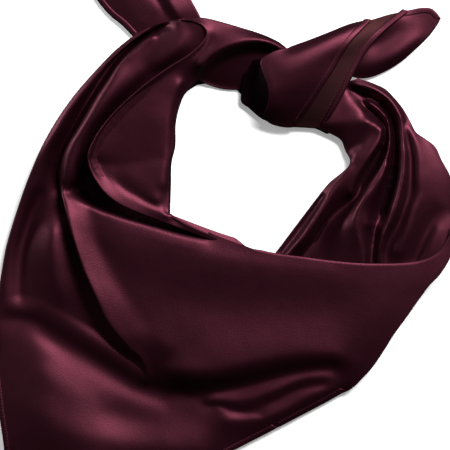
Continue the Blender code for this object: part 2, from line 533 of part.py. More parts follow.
def under_outlines():
    """Places on the neck side and the outer side of the hidden layers, station by station."""
    sides = []
    for side in (UNDER_NECK_SIDE, UNDER_OUTER_SIDE):
        points = np.column_stack([side.across, side.down]).astype(float)
        stations = np.arange(len(points))
        wanted = np.linspace(0, len(points) - 1, side.cells + 1)
        sides.append(np.column_stack([np.interp(wanted, stations, points[:, axis]) for axis in range(2)]))
    return sides


def near_under_layers(places, sides, margin):
    """Whether each place lies over the hidden layers, or beside them within the margin."""
    neck_side, outer_side = sides
    covered = np.zeros(places.shape[:-1], dtype=bool)
    for reach in (margin / 2, margin):
        for offset in ring_offsets(reach):
            moved = places + offset
            covered |= inside(moved, outer_side[:-1]) & ~inside(moved, neck_side[:-1])
    return covered


def patch_net(patch, runs):
    """The patch's places, with its edge loops, drawn in from its seams."""
    return set_back(with_edge_loop(side_net(patch, runs), patch.rolled))


def floor_under(net, rolled, sides, tail_border):
    """Lowest height of the wall's underside: clear of what lies under it, or just off the surface."""
    near = near_under_layers(net, sides, UNDER_MARGIN)
    near_edge = near_under_layers(net, sides, UNDER_EDGE_MARGIN)
    if "near" in rolled:
        near[:, 0] = near_edge[:, 0]
    if "far" in rolled:
        near[:, -1] = near_edge[:, -1]
    floor = np.where(near, UNDER_FLOOR, FLOOR_GAP)
    for offset in ring_offsets(TAIL_MARGIN):
        floor[inside(net + offset, tail_border)] = OVER_TAIL_FLOOR
    return floor


def to_world(places, heights):
    """Layout places and heights, in millimetres, as metres in the part's own frame."""
    x = (places[..., 0] - LAYOUT_MIDDLE[0]) * MM
    y = (LAYOUT_MIDDLE[1] - places[..., 1]) * MM
    return np.stack([x, y, heights * MM], axis=-1)


def solid_between(name, lower, upper, material, collection, closed=False):
    """A closed solid between two like grids of points, made by extruding a grid of faces."""
    rows, columns = lower.shape[:2]
    mesh_builder = bmesh.new()
    bmesh.ops.create_grid(mesh_builder, x_segments=rows - 1, y_segments=columns - 1, size=0.5)
    place = mesh_builder.verts.layers.int.new("place")
    for vertex in mesh_builder.verts:
        row = int(round((vertex.co.x + 0.5) * (rows - 1)))
        column = int(round((vertex.co.y + 0.5) * (columns - 1)))
        vertex[place] = row * columns + column
    if closed:
        last = (rows - 1) * columns
        by_place = {vertex[place]: vertex for vertex in mesh_builder.verts}
        targets = {by_place[last + column]: by_place[column] for column in range(columns)}
        bmesh.ops.weld_verts(mesh_builder, targetmap=targets)
    bmesh.ops.triangulate(mesh_builder, faces=mesh_builder.faces[:], quad_method="FIXED")
    raised = bmesh.ops.extrude_face_region(
        mesh_builder, geom=mesh_builder.faces[:], use_keep_orig=True)
    top = {item for item in raised["geom"] if isinstance(item, bmesh.types.BMVert)}
    lower = lower.reshape(-1, 3)
    upper = upper.reshape(-1, 3)
    for vertex in mesh_builder.verts:
        source = upper if vertex in top else lower
        vertex.co = source[vertex[place]]
    bmesh.ops.recalc_face_normals(mesh_builder, faces=mesh_builder.faces[:])
    mesh = bpy.data.meshes.new(name)
    mesh_builder.to_mesh(mesh)
    mesh_builder.free()
    mesh.shade_smooth()
    mesh.set_sharp_from_angle(angle=np.radians(50))
    mesh.materials.append(material)
    new_object = bpy.data.objects.new(name, mesh)
    collection.objects.link(new_object)
    return new_object


def cloth_wall(patch, net, relief, lift, floor, material, collection):
    """One visible stretch as a wall that follows the relief; returns its underside."""
    drop = relief.wall_drop(net)
    top = relief.height(net)
    if lift:
        top = top + drop + LAPPED_PLY_GAP
    bottom = np.maximum(top - drop, floor)
    if "near" in patch.rolled:
        bottom[:, 0] = floor[:, 0]
    if "far" in patch.rolled:
        bottom[:, -1] = floor[:, -1]
    top = np.maximum(top, bottom + WALL)
    solid_between(patch.name, to_world(net, bottom), to_world(net, top), material, collection)
    return bottom


def ply_under(name, net, underside, material, collection):
    """The ply on the surface under a tail's upper ply, with a flat underside."""
    top = np.maximum(underside - PLY_GAP, UNDER_RIM)
    solid_between(name, to_world(net, np.zeros_like(top)), to_world(net, top), material, collection)


def under_layers(sides, covers, material, collection):
    """The hidden layers of the ring as one low, rounded solid with a flat underside."""
    neck_side, outer_side = sides
    over = np.linspace(0.0, 1.0, UNDER_CELLS_OVER + 1)[None, :, None]
    net = (1 - over) * neck_side[:, None, :] + over * outer_side[:, None, :]
    lowest = np.full(net.shape[:2], np.inf)
    for border, relief in covers:
        for offset in ring_offsets(UNDER_REACH):
            moved = net + offset
            height = np.where(inside(moved, border), relief.height(moved), np.inf)
            lowest = np.minimum(lowest, height)
    lowest[np.isinf(lowest)] = 0.0
    width = np.linalg.norm(outer_side - neck_side, axis=1)[:, None]
    from_side = np.minimum(over, 1 - over)[..., 0] * width
    top = np.maximum(UNDER_RIM, UNDER_SHARE * lowest - UNDER_DROP)
    top = np.minimum(top, UNDER_RIM + UNDER_RISE * from_side)
    solid_between("under_layers", to_world(net, np.zeros_like(top)), to_world(net, top), material,
                  collection, closed=True)


def build_scarf():
    """The whole scarf, one object for each stretch."""
    clear_scene()
    collection = bpy.data.collections.new(COLLECTION_NAME)
    bpy.context.scene.collection.children.link(collection)
    satin = satin_material("satin", SATIN)
    deep = satin_material("satin_in_the_knot", SATIN_DEEP)
    warm = satin_material("satin_wrong_side", SATIN_WARM)
    hidden = satin_material("satin_hidden_layers", SATIN_DEEP)

    runs = {line.name: evenly_spaced(line) for line in LINES}
    tables = (FRONT_FOLDS, FAN_FOLDS, TIED_FOLDS, LEAF_FOLDS, LEFT_TAIL_FOLDS, CORE_FOLDS)
    reliefs = {id(folds): Relief(folds) for folds in tables}
    sides = under_outlines()
    tail_border = border_of(patch_net(LEFT_TAIL_PATCH, runs))
    covers = []
    for patch in RING_PATCHES:
        net = patch_net(patch, runs)
        relief = reliefs[id(patch.folds)]
        floor = floor_under(net, patch.rolled, sides, tail_border)
        material = deep if patch.name == "knot_core" else satin
        cloth_wall(patch, net, relief, False, floor, material, collection)
        covers.append((border_of(net), relief))
    for patch, lift, material in ((BAND_PATCH, False, warm), (WRAP_PATCH, True, satin)):
        net = patch_net(patch, runs)
        relief = reliefs[id(patch.folds)]
        cloth_wall(patch, net, relief, lift, FLOOR_GAP, material, collection)
        covers.append((border_of(net), relief))
    for patch, name in ((LEAF_PATCH, "right_tail_under_ply"), (LEFT_TAIL_PATCH, "left_tail_under_ply")):
        net = patch_net(patch, runs)
        relief = reliefs[id(patch.folds)]
        underside = cloth_wall(patch, net, relief, False, UNDER_RIM + PLY_GAP, satin, collection)
        ply_under(name, net, underside, hidden, collection)
    under_layers(sides, covers, hidden, collection)


build_scarf()
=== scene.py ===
"""Looks of the knotted satin scarf: thin cloth on its solids' forms, hems, stitches and soft light.

Places are in millimetres on the surface that the scarf lies on, as in the part's source: "across"
runs to the right and "down" runs towards the front point. Heights are above that surface.
"""

from collections import namedtuple

import bmesh
import bpy
import numpy as np
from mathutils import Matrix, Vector


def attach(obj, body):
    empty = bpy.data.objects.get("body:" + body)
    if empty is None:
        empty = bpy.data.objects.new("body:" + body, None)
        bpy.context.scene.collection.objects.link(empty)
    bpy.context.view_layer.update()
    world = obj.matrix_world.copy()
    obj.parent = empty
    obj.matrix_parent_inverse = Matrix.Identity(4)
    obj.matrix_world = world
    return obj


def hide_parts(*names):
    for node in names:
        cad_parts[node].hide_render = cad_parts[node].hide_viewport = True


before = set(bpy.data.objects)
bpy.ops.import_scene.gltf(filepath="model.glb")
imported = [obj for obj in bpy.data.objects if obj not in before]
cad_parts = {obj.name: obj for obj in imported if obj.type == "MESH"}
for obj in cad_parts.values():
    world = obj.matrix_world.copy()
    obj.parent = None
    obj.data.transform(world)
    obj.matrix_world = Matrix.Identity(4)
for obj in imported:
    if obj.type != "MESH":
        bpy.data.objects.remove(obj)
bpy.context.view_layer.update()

MM = 0.001
LAYOUT_MIDDLE = (223.0, 248.0)
LAYOUT_BOX = (-30.0, -80.0, 475.0, 580.0)  # left, top, right, bottom
FLOOR_CLEARANCE = 0.3

# The cloth between its folds is relaxed on a grid, coarse to fine, then rounded fold by fold
FIELD_PITCH = 1.25
COARSEST_PITCH = 20.0
RELAX_PASSES = 70
RELAX_RATE = 1.85
ROUNDINGS = (1.3, 2.6, 5.2, 10.4)  # each twice the last
ROUNDING_BLUR = 4.0  # how softly one rounding passes into the next
BLUR_REACH = 3  # a blur's reach, in multiples of its softness
LAST_CELL = 1.001  # keeps a place's next cell inside its grid

# Rounding lowers a ridge and fills a valley, so this share of the loss is put back, a few times
SWELL_ROUNDS = 2
SWELL_SHARE = 0.8

CURVE_STEP = 0.7  # between the points of a curve

# Soft unevenness of the cloth: size of its waves and their height, in millimetres
WAVES = ((26.0, 0.16), (9.0, 0.025))
WAVE_SIZE_PER_BLUR = 2.5
WAVE_SEED = 7

# A fold has a path with a height at each place, and how softly the cloth turns there
Fold = namedtuple("Fold", "name rounding across down height")
Line = namedtuple("Line", "name cells across down")
# The lines on a patch's four sides: near and far run along it, start and end over it
Patch = namedtuple("Patch", "near far start end")

# Valleys where the outer sheet and the main sheet meet
OUTER_VALLEY = ((176, 165, 150, 142, 129, 116, 105, 95, 88, 78, 70, 62, 56, 54, 55),
                (22, 25.5, 32, 37, 48.5, 62, 77, 91, 101, 115.5, 129, 142, 156, 170, 190))
CROSS_VALLEY = Fold("cross valley", 3, (-6, 12, 30, 48, 80, 115, 141, 150, 190, 240, 265),
                    (325, 319, 321, 331, 351, 373, 386.5, 388, 399, 412, 417),
                    (7, 4.5, 4, 4, 4, 4, 4.5, 4.5, 5.5, 8, 11))

# The outer sheet: the strip on the far left, the hollow, and what runs on under the panel's edge
OUTER_FOLDS = (
    Fold("outer valley", 1.3, *OUTER_VALLEY,
         (20, 12, 6, 4, 4, 4, 4, 4, 4, 4, 4, 4, 4, 4, 4)),
    CROSS_VALLEY,
    Fold("outer edge", 1.3,
         (181, 165, 150, 133, 118, 100, 80, 60, 40, 27, 15, 4, 0, -8, -6, -4, 2, 12, 21),
         (19, 22, 27, 37, 49, 66, 88, 115, 150, 180, 213, 250, 272, 350, 375, 400, 440, 515, 558),
         (16, 14, 14, 15, 16, 17.5, 19, 20, 19, 16, 11.5, 8.5, 7.5, 6, 8, 10.5, 12, 5.5, 3.2)),
    Fold("outer crest", 4,
         (150, 133, 121, 105, 95, 87, 77, 67, 59, 47, 39, 33, 26, 18, 10, 6, 4, 1),
         (28, 41, 50, 66, 78, 88, 101, 115, 130, 150, 170, 186, 203, 227, 251, 276, 300, 325),
         (15.5, 17, 18.5, 20, 21, 22, 22.5, 23, 22.5, 21, 18, 16, 13.5, 11, 9.2, 8, 7.5, 7)),
    Fold("hollow", 3, (38, 32, 26, 21, 18, 17, 18, 22), (192, 203, 218, 236, 255, 275, 294, 310),
         (8, 6.5, 5, 4, 3.5, 3, 3, 3)),
    Fold("hollow ridge", 4, (52, 50, 51, 54, 60), (230, 245, 262, 280, 298),
         (13, 14.5, 14.5, 13, 10.5)),
    Fold("hollow slope", 4, (40, 60, 84, 108), (306, 318, 334, 352), (7, 7, 6.5, 6)),
    Fold("under the edge", 5, (66, 71, 79, 90, 104, 122, 140), (210, 232, 258, 284, 306, 334, 356),
         (6, 8, 9, 8.5, 7.5, 6.5, 5.5)),
)

# The main sheet: the ridge beside the neck's fold, the panel under it and the lower front
MAIN_FOLDS = (
    Fold("outer valley", 1.3, *OUTER_VALLEY,
         (20, 12, 6, 5, 5, 5, 5, 5, 5, 5, 5, 5, 5, 5, 5)),
    Fold("middle lip", 2, (153, 143, 129, 118, 107, 98, 92, 84, 76, 69, 64, 61.5, 61),
         (34.5, 41, 51, 63, 80, 93, 103, 118, 132, 143, 155, 170, 186),
         (19, 18, 18, 19.5, 20.5, 21, 21, 21, 21, 20.5, 20, 19, 17)),
    Fold("middle crest", 5, (129, 120, 111, 102, 93, 84, 76, 70, 67, 65),
         (64, 75, 87, 100, 113, 128, 141, 156, 168, 181),
         (20.5, 23, 25, 26, 26, 25.5, 25, 24, 23.5, 22)),
    Fold("middle foot", 2, (192, 201, 205, 205, 197, 185, 168, 150, 130, 110, 95, 88, 82, 86, 98),
         (22, 26, 33, 38, 50, 57, 66, 78, 93, 111, 132, 150, 170, 186, 199),
         (22, 23, 23, 22, 20, 18, 15, 13, 12, 11, 10, 9, 6, 5, 6)),
    Fold("pocket", 4, (186, 183, 179, 170, 158), (26, 34, 44, 55, 65), (20.5, 22.5, 23.5, 23, 20)),
    Fold("crevice", 2, (73, 84, 98, 116, 137, 172, 205), (187, 197, 204.5, 210, 217, 228.5, 238),
         (6, 6, 7, 8, 10, 12, 17)),
    Fold("panel top crest", 2.5, (65, 75, 90, 110, 130, 150, 178, 205),
         (192, 198, 206, 213.5, 220, 225.5, 233.5, 241),
         (15, 17.5, 19, 19.5, 19.5, 19.5, 20, 20.5)),
    Fold("panel crest", 7, (105, 130, 160, 190, 225, 260, 300, 330),
         (236, 243, 249, 255, 262, 268, 272, 275), (22, 22.5, 23, 23, 23, 23, 22.5, 21.5)),
    Fold("panel lap edge", 2, (222, 253, 285, 300, 330, 380, 415, 434, 447, 450),
         (245, 252, 255.5, 257, 261, 264, 262, 255, 241, 228),
         (21, 21.5, 21.5, 21.5, 21, 18.5, 17.5, 17, 16, 16)),
    Fold("panel trough", 12, (150, 190, 230, 270, 310, 345), (292, 301, 306, 309, 312, 314),
         (20.5, 20, 20, 20, 19.5, 18.5)),
    Fold("panel low crest", 6, (172, 186, 205, 225, 260, 300, 338, 352),
         (370, 374, 375, 371, 363, 357, 357, 361), (23.5, 24.5, 24.5, 24.5, 24, 22.5, 19.5, 16)),
    Fold("panel foot", 4, (178, 192, 215, 250, 280, 310, 335), (391, 394, 391, 384, 376, 369, 366),
         (5.5, 6, 7, 9, 10.5, 11.5, 11)),
    Fold("panel left edge", 1.3, (61, 64, 67, 74, 84, 96, 108, 128, 141, 146, 143),
         (188, 197, 212, 240, 270, 297, 322, 346, 359, 372, 383),
         (17, 20, 25, 28, 28, 27, 25, 22, 19, 14, 8)),
    Fold("panel shoulder", 5, (84, 92, 98, 110, 124, 140, 158, 167, 168),
         (207, 222, 244, 268, 292, 316, 338, 350, 360),
         (19.5, 21, 20.5, 20.5, 20.5, 21, 22.5, 22.5, 20)),
    CROSS_VALLEY,
    Fold("left hem", 3, (-8, -6, -4, 2, 12, 21), (350, 375, 400, 440, 515, 558),
         (6, 8, 10.5, 12, 5.5, 3.2)),
    Fold("front hem", 3, (345, 330, 300, 275, 238, 150, 80, 21),
         (391.5, 400, 416, 429, 449, 493, 529, 558), (5, 5, 5.5, 6, 6, 5, 4, 3.2)),
    Fold("corner ridge", 4, (205, 245, 270, 295, 320, 345), (402, 400, 391.5, 381, 377, 384),
         (9, 12, 13.3, 13.5, 12.8, 10)),
    Fold("corner groove", 3, (215, 255, 275, 300, 325), (408, 409, 400, 388, 383.5),
         (8.3, 9.6, 9.8, 9.8, 9.8)),
    Fold("corner lower ridge", 4, (225, 266, 285, 305, 325, 343), (420, 417, 410, 398, 391, 388.5),
         (11.5, 12, 12, 11.7, 11, 8.3)),
    Fold("right edge", 3, (352, 360, 383, 410, 437, 450, 454.5),
         (388, 380, 350, 308, 268, 250, 232), (9, 11, 15, 17, 17.5, 16.5, 15.5)),
    Fold("right shoulder", 7, (345, 368, 390, 412), (362, 326, 292, 274), (16, 18, 18.5, 18)),
    Fold("middle fall", 4, (142, 132, 122, 112, 102, 92, 85, 80, 76, 73),
         (68, 80, 92, 104, 117, 130, 142, 156, 169, 180),
         (19, 20, 21, 21.5, 21.5, 21, 20.5, 20, 19, 17)),
    Fold("panel edge band", 4, (76, 85, 96, 110, 125, 143, 152, 153),
         (218, 246, 275, 300, 324, 343, 357, 370), (24, 24.5, 24.5, 24, 23, 22, 18.5, 14)),
    Fold("pocket left", 5, (164, 158, 150, 140), (32, 42, 52, 62), (19, 19, 19, 19)),
    Fold("lower foot", 4, (36, 56, 84, 118, 145, 165), (334, 346, 362, 383, 396, 403),
         (4.8, 4.3, 4.2, 4.2, 4.2, 4.5)),
    Fold("lower rise", 6, (28, 40, 58, 84, 118, 142, 165, 200),
         (340, 350, 362, 379, 397, 406, 413, 422), (7, 9, 8.5, 8.5, 7.8, 7.2, 7, 8)),
    Fold("lower step", 7, (30, 42, 60, 84, 118, 140, 165, 200),
         (366, 374, 386, 402, 418, 422, 430, 436), (11, 14, 14, 13.5, 9.8, 8.6, 10, 10.5)),
    Fold("lower plateau", 8, (24, 40, 60, 84, 112, 140, 170, 198),
         (394, 412, 430, 438, 443, 447, 450, 452), (13.5, 18, 20, 20, 17, 14, 13.5, 12)),
    Fold("point ridge", 14, (100, 90, 70, 50, 36), (452, 468, 492, 520, 542),
         (19, 19, 15.5, 10, 5.5)),
)

# The inner sheet: the fold round the neck, its inner face, and the stretch to the knot
INNER_FOLDS = (
    Fold("neck fold", 1.3,
         (181, 192, 201, 205.5, 203, 190, 170, 160, 130, 110, 95, 88, 90, 96, 104, 118, 135, 155,
          180, 215, 253),
         (20.5, 22, 26, 33, 41, 54, 67, 74, 98, 118, 139, 158, 169, 181, 192, 203, 211, 218.5, 228,
          241, 252.5),
         (22, 24, 25.5, 26.5, 27, 28.5, 30.5, 31.5, 34, 35.5, 36, 35.5, 34.5, 33.5, 32, 30, 28.5,
          26.2, 23.5, 19.5, 13)),
    Fold("neck fold shelf", 1.6, (209, 206, 194, 173, 147, 126, 110, 100, 93),
         (34, 45, 57, 70.5, 89, 106, 123, 140, 157),
         (25, 25.3, 26.3, 27.5, 28.5, 29.2, 29.8, 30.2, 31)),
    Fold("neck fold step", 1.8, (92, 99, 107, 120, 145, 166), (160, 164.5, 165.5, 165, 161, 157),
         (28, 26.5, 26.3, 26, 25.6, 25)),
    Fold("inner trough", 2, (98, 106, 114, 126, 141, 159, 185),
         (170, 178, 187.5, 196.5, 204, 211.5, 222), (27.2, 27.5, 28, 28, 27.2, 26.5, 25.5)),
    Fold("inner crease", 1.5, (111, 115, 124, 140, 158), (171, 180, 189, 198, 208),
         (26.6, 26.3, 26, 25.6, 25.2)),
    Fold("inner face", 6, (158, 148, 140, 130), (112, 126, 140, 152), (28, 28, 27.4, 26.8)),
    Fold("inner dark crease", 3, (118, 140, 160), (134, 116, 104), (28, 28, 27.6)),
    Fold("neck edge", 2, (197, 183, 174, 173, 169, 168, 180, 200, 225, 250),
         (79, 93, 122, 148, 185, 214, 221.5, 231.5, 241, 250.5),
         (10, 19, 21, 21, 21, 23, 24, 22.3, 18, 12.5)),
    Fold("neck shoulder", 3, (180, 171, 168, 166, 163), (84, 104, 124, 150, 186),
         (25.5, 26, 26, 25, 26)),
    Fold("back top edge", 3, (181, 200, 225, 255, 278, 290), (18.7, 18.4, 24, 33, 43, 54),
         (20, 21, 21, 20.5, 19, 16)),
    Fold("back rise", 5, (214, 240, 266), (33, 35, 38.5), (25, 26, 24.5)),
    Fold("back crest", 2.6, (200, 209, 220, 236, 252, 268, 286), (68, 58, 50.5, 44.5, 40.5, 42, 50),
         (27, 28.5, 29.5, 29.5, 28.5, 26.5, 21)),
    Fold("back foot", 3, (199, 210, 222, 240, 256), (79, 83.5, 87, 89.5, 92),
         (6, 3, 2.5, 2.5, 2.5)),
    Fold("back dark", 1.5, (204, 222, 240, 256, 272), (74, 61, 54, 51, 53), (10, 14, 15, 15, 14)),
    Fold("inner lower face", 5, (130, 143, 156), (176, 188, 199), (26.8, 27, 27)),
)

# Folds of the fan that runs from the knot down the right side
FAN_FOLDS = (
    Fold("fan top edge", 3, (318, 338, 356, 375, 393, 410, 425, 441, 450, 451),
         (98, 85, 78, 84, 97, 122, 139, 160, 177, 215), (8, 8, 8, 8, 8.5, 9.5, 10, 10, 10, 8)),
    Fold("fan inner edge", 2, (316, 330, 341, 350), (126, 133, 140, 160), (7, 7, 7, 8)),
    Fold("fan lower edge", 1.3, (350, 345, 328, 300, 275, 264), (160, 166, 184, 220, 253, 267),
         (11, 11.5, 12, 11, 10, 10)),
    Fold("edge groove", 2, (322, 313, 303, 292, 280), (196, 210, 225, 240, 256),
         (10, 9.5, 9.5, 9.5, 9.5)),
    Fold("lap plateau", 3, (347, 341, 335, 330), (214, 226, 240, 254), (12, 12, 10.5, 9)),
    Fold("turn groove", 3, (442, 436, 430, 423, 418, 414), (204, 213, 225, 240, 252, 264),
         (10.5, 9.5, 9, 9, 8.5, 8)),
    Fold("turn roll", 2.6, (438, 432, 426, 420), (228, 240, 252, 264), (11.3, 12.3, 12, 11)),
    Fold("facet foot", 3, (331, 339, 347), (116, 105, 94), (11, 10, 9)),
    Fold("facet upper", 4, (347, 354, 362), (104, 104, 110), (11, 11, 12)),
    Fold("facet crest", 3, (324, 340, 356, 368), (125, 123, 121, 121), (10.5, 13, 15, 17.5)),
    Fold("facet hollow", 4, (343, 352, 364), (139, 148, 135), (9, 9, 14)),
    Fold("hook ridge", 3, (375, 376, 371, 364, 357, 351, 345, 337, 327, 318, 308, 298, 287, 277),
         (124, 131, 139, 145, 151, 158, 168, 182, 196, 210, 225, 240, 252, 264),
         (15, 14, 13.8, 14, 14.2, 14.5, 15.2, 16.5, 18, 19, 20, 20.5, 19, 17)),
    Fold("first valley", 1.3,
         (361, 368, 376, 382, 385, 385, 378, 368, 360, 355, 338, 322, 313, 304, 296),
         (103, 109, 114.5, 122, 130, 138, 150, 165, 180, 195, 208, 225, 240, 252, 266),
         (3, 3, 3, 3, 3, 3, 3, 3, 3, 4, 3, 2.5, 2.5, 2.5, 2.5)),
    Fold("first valley far side", 1.3, (383, 375, 366, 359, 346, 328, 320, 311, 303),
         (150, 165, 180, 195, 207, 225, 240, 252, 266), (3, 3, 3, 4, 3, 2.5, 2.5, 2.5, 2.5)),
    Fold("second ridge", 2.6,
         (367, 376, 383, 388, 389, 387.5, 382, 373, 362, 355, 353, 359, 363, 364),
         (102, 107, 113, 121, 135, 150, 165, 180, 195, 210, 225, 240, 252, 268),
         (11, 12, 12.3, 12.6, 13.4, 14.5, 16, 17.8, 19.2, 20.3, 20.5, 18, 15.5, 13)),
    Fold("second valley", 1.3,
         (350, 363, 373, 380, 387, 391.5, 393, 391, 386, 382, 378, 376, 374, 372, 371),
         (89, 96, 99.5, 106, 116, 130, 150, 165, 180, 195, 210, 225, 240, 252, 268),
         (4, 3, 3, 3, 3, 3, 3, 3, 2.5, 2.5, 2.5, 3.5, 5, 6, 6)),
    Fold("second valley far side", 1.3, (384, 391, 394.5, 396, 395, 393, 389, 385, 381),
         (103, 116, 130, 150, 165, 180, 195, 210, 222), (3, 3, 3, 3, 3, 3, 2.5, 2.5, 4)),
    Fold("third ridge", 2.6,
         (352, 366, 377, 387, 395, 399.5, 400.5, 400.5, 400.5, 398.5, 395, 390, 386, 382, 380, 380),
         (84, 86, 90, 98, 109, 120, 135, 150, 165, 180, 195, 210, 225, 240, 252, 268),
         (11, 12.5, 13.5, 14.3, 15, 15.8, 16.8, 18, 19.4, 20.8, 22, 22.8, 21.5, 18, 15, 12)),
    Fold("outer groove", 2.6, (403, 406, 409, 410, 410, 408, 403, 396, 387, 384, 383),
         (121, 135, 150, 165, 180, 195, 210, 225, 240, 252, 268),
         (12, 12.5, 12.5, 13, 13.5, 14, 14, 13.5, 12.5, 11, 10)),
    Fold("outer bump", 3, (406, 411, 415, 416, 416, 418, 411, 407, 402, 396),
         (126, 135, 150, 165, 180, 195, 210, 225, 240, 252),
         (14, 15, 16, 17, 17.5, 17, 18, 18, 17, 15.5)),
    Fold("hook shoulder", 2, (381, 381, 378, 373, 365, 356, 350),
         (128, 135, 144, 153, 166, 181, 194), (15, 15, 15.5, 15.5, 14.5, 13.5, 13)),
    Fold("hook lower shoulder", 2, (335, 326, 317, 307, 294), (198, 211, 225, 240, 253),
         (14, 14, 14, 13.5, 12.5)),
    Fold("second shoulder", 2, (386.5, 382, 374, 367, 367), (165, 180, 195, 210, 225),
         (15.5, 16, 16.5, 16.5, 16)),
    Fold("third shoulder", 2, (405, 405.5, 404, 401, 397, 391), (150, 165, 180, 195, 210, 225),
         (17, 17.5, 18.5, 19, 19.5, 19)),
)

# Folds of the tied end at the right: heights of its second ply, and the first lies on that
TIED_FOLDS = (
    Fold("tied hem", 4, (331, 339, 346, 352, 360, 370, 381, 394, 408),
         (114, 100, 86, 74, 60, 46, 33, 21, 11), (14, 16, 17, 17, 16.5, 15.5, 13.5, 11.5, 9.5)),
    Fold("tied top edge", 3, (285, 310, 330, 350, 370, 390, 408),
         (49, 40, 32, 24, 19.5, 13.5, 10.5), (21, 18, 15, 12, 10.5, 9, 8.5)),
    Fold("tied crest", 9, (266, 288, 310, 330, 348, 368), (74, 64, 53, 43, 34.5, 26),
         (28.5, 30, 28.5, 25.5, 21, 15.5)),
    Fold("tied body", 7, (272, 300, 322, 340), (94, 82, 66, 53), (29, 27, 24, 20.5)),
    Fold("tied lower body", 5, (275, 300, 316), (110, 104, 98), (22, 19, 17.5)),
    Fold("tied left edge", 3, (259, 265, 267, 262), (63, 80, 96, 113), (25, 28.5, 28, 21)),
    Fold("tied bottom", 4, (262, 275, 290, 310, 323), (119, 124.5, 127, 127, 128),
         (9, 8, 6.8, 6.0, 7.4)),
)

# The leaf under the tied end, the left tail, and the knot's loop, darkened with painted shade
LEAF_FOLDS = (
    Fold("leaf top edge", 3, (396, 410, 428, 440), (12, 8.5, 7.5, 17), (4.5, 4.2, 4.2, 4.2)),
    Fold("leaf lower edge", 3, (440, 430, 415, 400, 385, 370, 352), (18, 33, 48, 61, 70, 76, 77),
         (4.2, 4.2, 4.2, 4.2, 4.2, 4.5, 5)),
    Fold("leaf root", 4, (344, 352, 362, 374, 388, 400), (68, 58, 46, 34, 22, 14),
         (9, 10, 10, 10.5, 9.8, 7.4)),
    Fold("leaf hollow", 5, (372, 392, 412), (46, 36, 22), (8, 7, 6)),
    Fold("leaf crest", 5, (360, 380, 400, 416), (69, 63, 52, 38), (9, 10.5, 10, 7.5)),
)

LEFT_TAIL_FOLDS = (
    Fold("tail hem", 3, (88, 85, 90, 97, 110, 133), (-62, -25, -10, 0, 15, 36),
         (4.2, 4.2, 4.2, 4.2, 4.4, 4.4)),
    Fold("tail outer fold", 3, (88, 120, 150, 180, 190, 201), (-62, -58, -45, -20, 0, 20),
         (4.2, 4.2, 4.3, 4.5, 4.5, 4.4)),
    Fold("tail root", 3, (134, 150, 166, 181, 201), (38, 29.5, 24.5, 21, 20.5),
         (4.3, 4.3, 4.3, 4.3, 4.3)),
    Fold("tail left crest", 5, (98, 112, 128, 143), (-40, -18, 4, 22), (6, 6.6, 7, 6)),
    Fold("tail left shoulder", 5, (120, 134, 146, 155), (-36, -18, -2, 9), (6.7, 7, 7, 6.5)),
    Fold("tail valley", 2.2, (118, 134, 148, 158, 164.5, 171), (-50, -32, -12, 0, 10, 18),
         (5.4, 5.2, 5, 5, 5, 5)),
    Fold("tail right crest", 2.6, (128, 142, 156, 165, 170.5, 177), (-52, -37, -17, -3, 8, 16),
         (8, 9, 9.6, 9.6, 9.2, 7.5)),
)

CORE_FOLDS = (
    Fold("core left", 3, (247, 243, 242, 244), (64, 76, 91, 103), (9, 8, 7, 6)),
    Fold("core foot", 3, (245, 262, 282), (105, 119, 126), (6, 5, 5)),
    Fold("core crest", 4, (262, 272, 276), (66, 84, 104), (20, 23, 19)),
)

